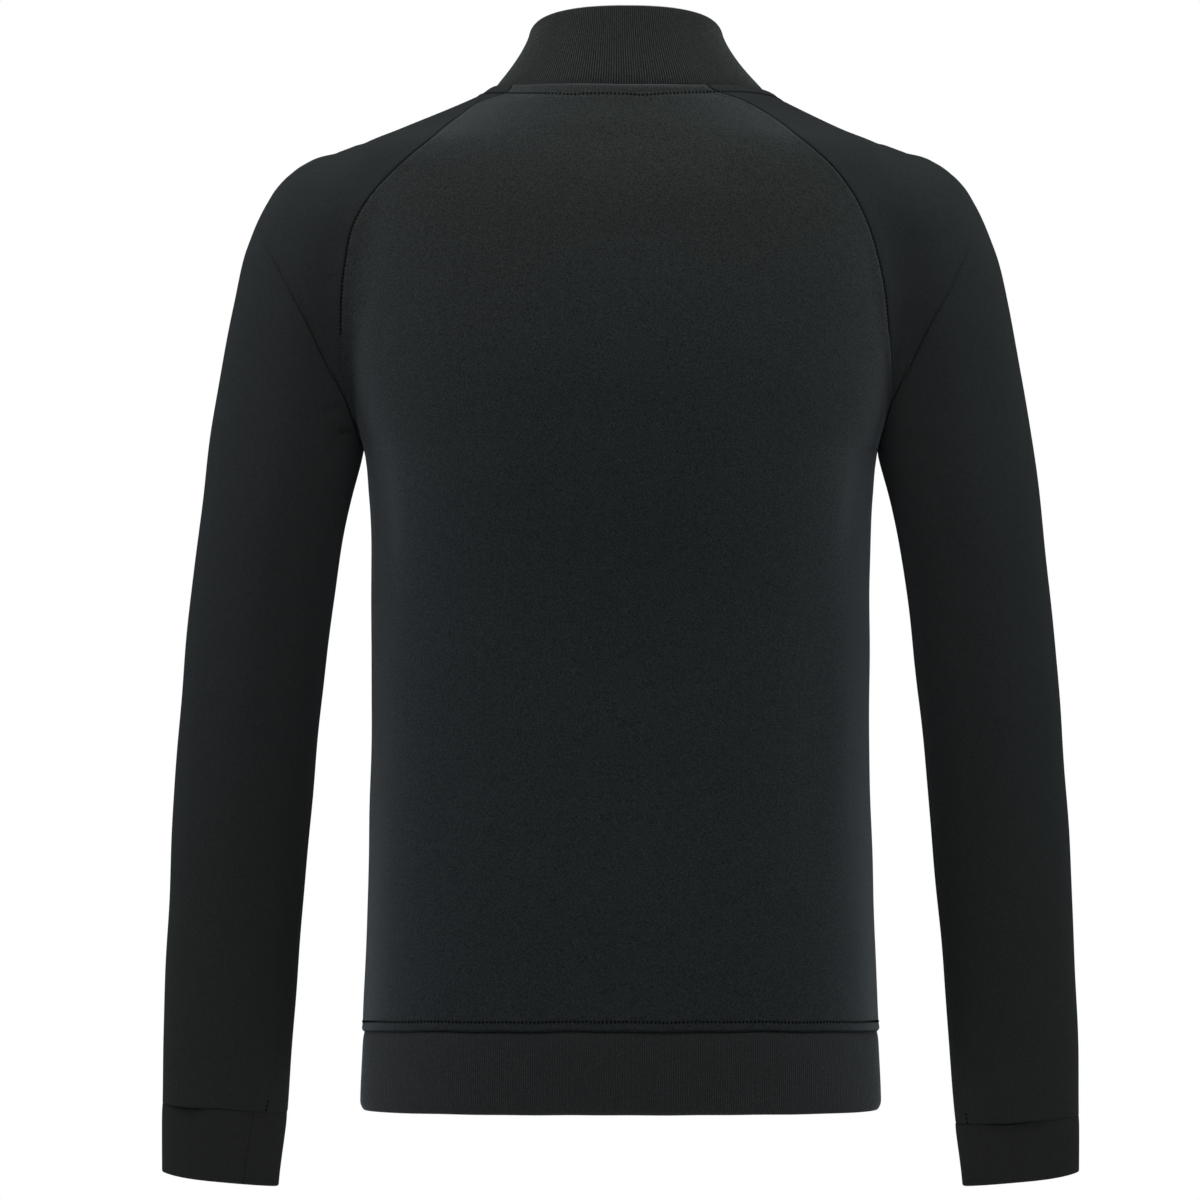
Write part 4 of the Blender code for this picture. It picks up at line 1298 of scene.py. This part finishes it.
class Nodes:
    """Adds nodes to a material and joins them."""

    def __init__(self, name):
        self.material = bpy.data.materials.new(name)
        self.material.use_nodes = True
        self.tree = self.material.node_tree
        self.shader = self.tree.nodes["Principled BSDF"]

    def add(self, kind, **settings):
        node = self.tree.nodes.new(kind)
        for key, value in settings.items():
            setattr(node, key, value)
        return node

    def give(self, value, socket):
        """Sets a socket to a number or colour, or joins it to an output."""
        if isinstance(value, (int, float, tuple)):
            socket.default_value = value
        else:
            self.tree.links.new(value, socket)

    def give_shader(self, values):
        for name, value in values.items():
            self.give(value, self.shader.inputs[name])

    def math(self, operation, *values):
        node = self.add("ShaderNodeMath", operation=operation)
        for socket, value in zip(node.inputs, values):
            self.give(value, socket)
        return node.outputs[0]

    def noise(self, scale, detail, vector):
        node = self.add("ShaderNodeTexNoise")
        self.give(scale, node.inputs["Scale"])
        self.give(detail, node.inputs["Detail"])
        self.give(vector, node.inputs["Vector"])
        return node.outputs["Fac"]

    def mix(self, share, first, second, blend="MIX"):
        node = self.add("ShaderNodeMix", data_type="RGBA", blend_type=blend)
        self.give(share, node.inputs["Factor"])
        self.give(first, node.inputs[6])
        self.give(second, node.inputs[7])
        return node.outputs[2]

    def ramp(self, value, low, high):
        node = self.add("ShaderNodeMapRange")
        self.give(value, node.inputs["Value"])
        self.give(low, node.inputs["From Min"])
        self.give(high, node.inputs["From Max"])
        return node.outputs["Result"]

    def separate(self, vector):
        node = self.add("ShaderNodeSeparateXYZ")
        self.give(vector, node.inputs[0])
        return node.outputs

    def place(self):
        return self.add("ShaderNodeTexCoord").outputs["Object"]


def knit_height(nodes, across, down):
    """The small Vs of a plain knit, from the cloth's own metres."""
    across = nodes.math("PINGPONG", nodes.math("DIVIDE", across, WALE), 0.5)
    slant = nodes.math("MULTIPLY", across, KNIT_SLANT)
    slanted = nodes.math("ADD", nodes.math("DIVIDE", down, COURSE), slant)
    courses = nodes.math("SINE", nodes.math("MULTIPLY", slanted, 2 * math.pi))
    wales = nodes.math("SINE", nodes.math("MULTIPLY", across, 2 * math.pi))
    return nodes.math("ADD", nodes.math("MULTIPLY", courses, 0.5), wales)


def rib_crests(nodes, across):
    """1 on the crest of each rib, and 0 in the grooves between them, where painted shade goes."""
    wave = nodes.math("COSINE", nodes.math("MULTIPLY", across, 2 * math.pi / BAND_RIB))
    return nodes.math("MULTIPLY_ADD", wave, 0.5, 0.5)


def cast_over(nodes, colour, place, cast):
    """A colour turned by the cast, with a ragged edge between the cool and the warm."""
    patches = nodes.noise(CAST_PATCHES, 1.5, place)
    uneven = nodes.math("MULTIPLY_ADD", patches, CAST_RAGGEDNESS, -CAST_RAGGEDNESS / 2)
    level = nodes.math("ADD", nodes.separate(place)["Z"], uneven)
    tint = nodes.mix(nodes.ramp(level, cast.cool_at, cast.warm_at), COOL, cast.warm)
    return nodes.mix(1.0, colour, tint, "MULTIPLY")


def cloth_relief(nodes, height, grain):
    """The directions of cloth with the small heights of its knit or ribs and of its grain."""
    height = nodes.math("MULTIPLY", height, KNIT_BUMP)
    grain = nodes.math("MULTIPLY", grain, GRAIN_BUMP)
    bump = nodes.add("ShaderNodeBump")
    nodes.give(nodes.math("ADD", height, grain), bump.inputs["Height"])
    nodes.give(BUMP_DISTANCE, bump.inputs["Distance"])
    nodes.give(BUMP_STRENGTH, bump.inputs["Strength"])
    return bump.outputs["Normal"]


def cloth_material(name, dark, light, groove=None, cast=None, sheen=SHEEN):
    """Speckled cloth with dark thread and painted shade in its seams, plainly knitted or, with a
    groove's colour of painted shade, ribbed.
    """
    nodes = Nodes(name)
    place = nodes.place()
    metres = nodes.separate(nodes.add("ShaderNodeUVMap", uv_map="cloth").outputs["UV"])
    grain = nodes.noise(GRAIN_SCALE, 2, place)
    colour = nodes.mix(nodes.ramp(grain, GRAIN_DARK, GRAIN_LIGHT), dark, light)
    if cast:
        colour = cast_over(nodes, colour, place, cast)
    # Painted shade in the ribs' grooves.
    if groove:
        height = rib_crests(nodes, metres["X"])
        colour = nodes.mix(height, groove, colour)
    else:
        height = knit_height(nodes, metres["X"], metres["Y"])
    # The seam layer mixes in dark thread and painted shade.
    seam = nodes.add("ShaderNodeAttribute", attribute_name="seam").outputs["Fac"]
    nodes.give_shader(
        {
            "Base Color": nodes.mix(seam, colour, SEAM_THREAD_AND_SHADE),
            "Normal": cloth_relief(nodes, height, grain),
            "Roughness": CLOTH_ROUGHNESS,
            "Specular IOR Level": 0.0,
            "Sheen Weight": sheen,
            "Sheen Roughness": SHEEN_ROUGHNESS,
            "Sheen Tint": SHEEN_TINT,
        }
    )
    return nodes.material


def thread_material():
    nodes = Nodes("black_thread")
    twist = nodes.noise(TWIST_SCALE, 1, nodes.place())
    nodes.give_shader(
        {
            "Base Color": nodes.mix(twist, THREAD, THREAD_LIGHT),
            "Roughness": THREAD_ROUGHNESS,
            "Specular IOR Level": THREAD_SPECULAR,
        }
    )
    return nodes.material


# ---------------------------------------------------------------- stage, lights and camera


def floor():
    nodes = Nodes("pale_floor")
    patches = nodes.noise(FLOOR_PATCHES, 2, nodes.place())
    nodes.give_shader(
        {
            "Base Color": nodes.mix(patches, FLOOR_DARK, FLOOR_LIGHT),
            "Roughness": FLOOR_ROUGHNESS,
            "Emission Color": WHITE + (1.0,),
            "Emission Strength": FLOOR_GLOW,
        }
    )
    bpy.ops.mesh.primitive_circle_add(vertices=128, radius=FLOOR_RADIUS, fill_type="NGON")
    disc = bpy.context.active_object
    disc.name = "floor"
    disc.location.z = FLOOR_HEIGHT
    disc.data.materials.append(nodes.material)


def backdrop():
    """White all round, as the camera sees it, and dimmer as a light on the cloth."""
    world = bpy.data.worlds.new("white_studio")
    world.use_nodes = True
    bpy.context.scene.world = world
    tree = world.node_tree
    background = tree.nodes["Background"]
    background.inputs["Color"].default_value = WHITE + (1.0,)
    ray = tree.nodes.new("ShaderNodeLightPath")
    strength = tree.nodes.new("ShaderNodeMapRange")
    strength.inputs["To Min"].default_value = BACKDROP_LIGHT
    strength.inputs["To Max"].default_value = 1.0
    tree.links.new(ray.outputs["Is Camera Ray"], strength.inputs["Value"])
    tree.links.new(strength.outputs["Result"], background.inputs["Strength"])


def light(box):
    data = bpy.data.lights.new(box.name, "AREA")
    data.shape = "RECTANGLE"
    data.size, data.size_y = box.width, box.height
    data.energy = box.watts
    data.color = box.colour
    lamp = bpy.data.objects.new(box.name, data)
    lamp.location = box.place
    towards = Vector(box.target) - Vector(box.place)
    lamp.rotation_euler = towards.to_track_quat("-Z", "Y").to_euler()
    bpy.context.scene.collection.objects.link(lamp)


def camera():
    data = bpy.data.cameras.new("camera")
    data.sensor_width = SENSOR
    data.lens = SENSOR * CAMERA_DISTANCE / VIEW_WIDTH
    eye = bpy.data.objects.new("camera", data)
    eye.location = (CAMERA_ACROSS, CAMERA_DISTANCE, CAMERA_HEIGHT)
    eye.rotation_euler = (math.radians(90), 0, math.radians(180))
    bpy.context.scene.collection.objects.link(eye)
    bpy.context.scene.camera = eye


# ---------------------------------------------------------------- the whole garment


def declare(piece, node):
    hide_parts(node)


def raglan_lines(grid, normals, beside):
    """The stitched parts of a panel's two raglan seams."""
    upper = grid[:, 0, 2] > RAGLAN_STITCHED_FROM
    middle = grid.shape[1] // 2
    layers = [layer[upper].swapaxes(0, 1) for layer in (grid, normals, beside)]
    halves = (slice(None, middle), slice(middle, None))
    return [line_at(*(layer[half] for layer in layers), RAGLAN_STITCH) for half in halves]


def body_panels(material, lines):
    """The back and front, with the lines for their stitches."""
    for name, face, area in (("back", 1, 0.272), ("front", -1, 0.256)):
        piece, grid, normals, (beside, from_hem, from_neck) = body_panel(name, face, material)
        declare(piece, name)
        lines["neck"].append(line_at(grid, normals, from_neck, neck_strip(grid[0]).width))
        lines["hem"].append(line_at(grid, normals, from_hem, HEM_STRIP.width))
        lines["raglan"] += raglan_lines(grid, normals, beside)


def sleeves_and_cuffs(knit, ribbing, lines):
    for side in ("left", "right"):
        piece, grid, normals, (from_neck, from_cuff) = sleeve(side, knit)
        declare(piece, f"sleeve_{side}")
        lines["neck"].append(line_at(grid, normals, from_neck, neck_strip(grid[0]).width))
        low = from_cuff[:, 0] < UNDERARM_STITCHED
        lines["underarm"].append((grid[low, 0], normals[low, 0]))
        cuff(side, ribbing)


def garment():
    body = cloth_material("black_knit_body", BODY_DARK, BODY_LIGHT, None, BODY_CAST_PAINTED_LIGHT, BODY_SHEEN)
    arms = cloth_material("black_knit_sleeves", SLEEVE_DARK, SLEEVE_LIGHT, None, SLEEVE_CAST)
    neck = cloth_material("black_rib_collar", COLLAR_DARK, COLLAR_LIGHT, COLLAR_GROOVE_SHADE)
    hem = cloth_material("black_rib_hem", HEM_DARK, HEM_LIGHT, HEM_GROOVE_SHADE, None, BODY_SHEEN)
    cuffs = cloth_material("black_rib_cuffs", CUFF_DARK, CUFF_LIGHT, CUFF_GROOVE_SHADE)
    thread = thread_material()
    lines = {"neck": [], "hem": [], "raglan": [], "underarm": []}
    body_panels(body, lines)
    sleeves_and_cuffs(arms, cuffs, lines)
    collar(neck)
    hem_band(hem)
    for name, found in lines.items():
        width = TOPSTITCH_WIDTH if name in ("neck", "hem") else SEAM_STITCH_WIDTH
        stitching(f"{name}_stitches", found, thread, width)


def main():
    for existing in list(bpy.data.objects):
        bpy.data.objects.remove(existing, do_unlink=True)
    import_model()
    garment()
    floor()
    backdrop()
    for box in SOFTBOXES:
        light(box)
    camera()
    bpy.context.scene.view_settings.view_transform = "Standard"
    bpy.context.view_layer.update()


main()
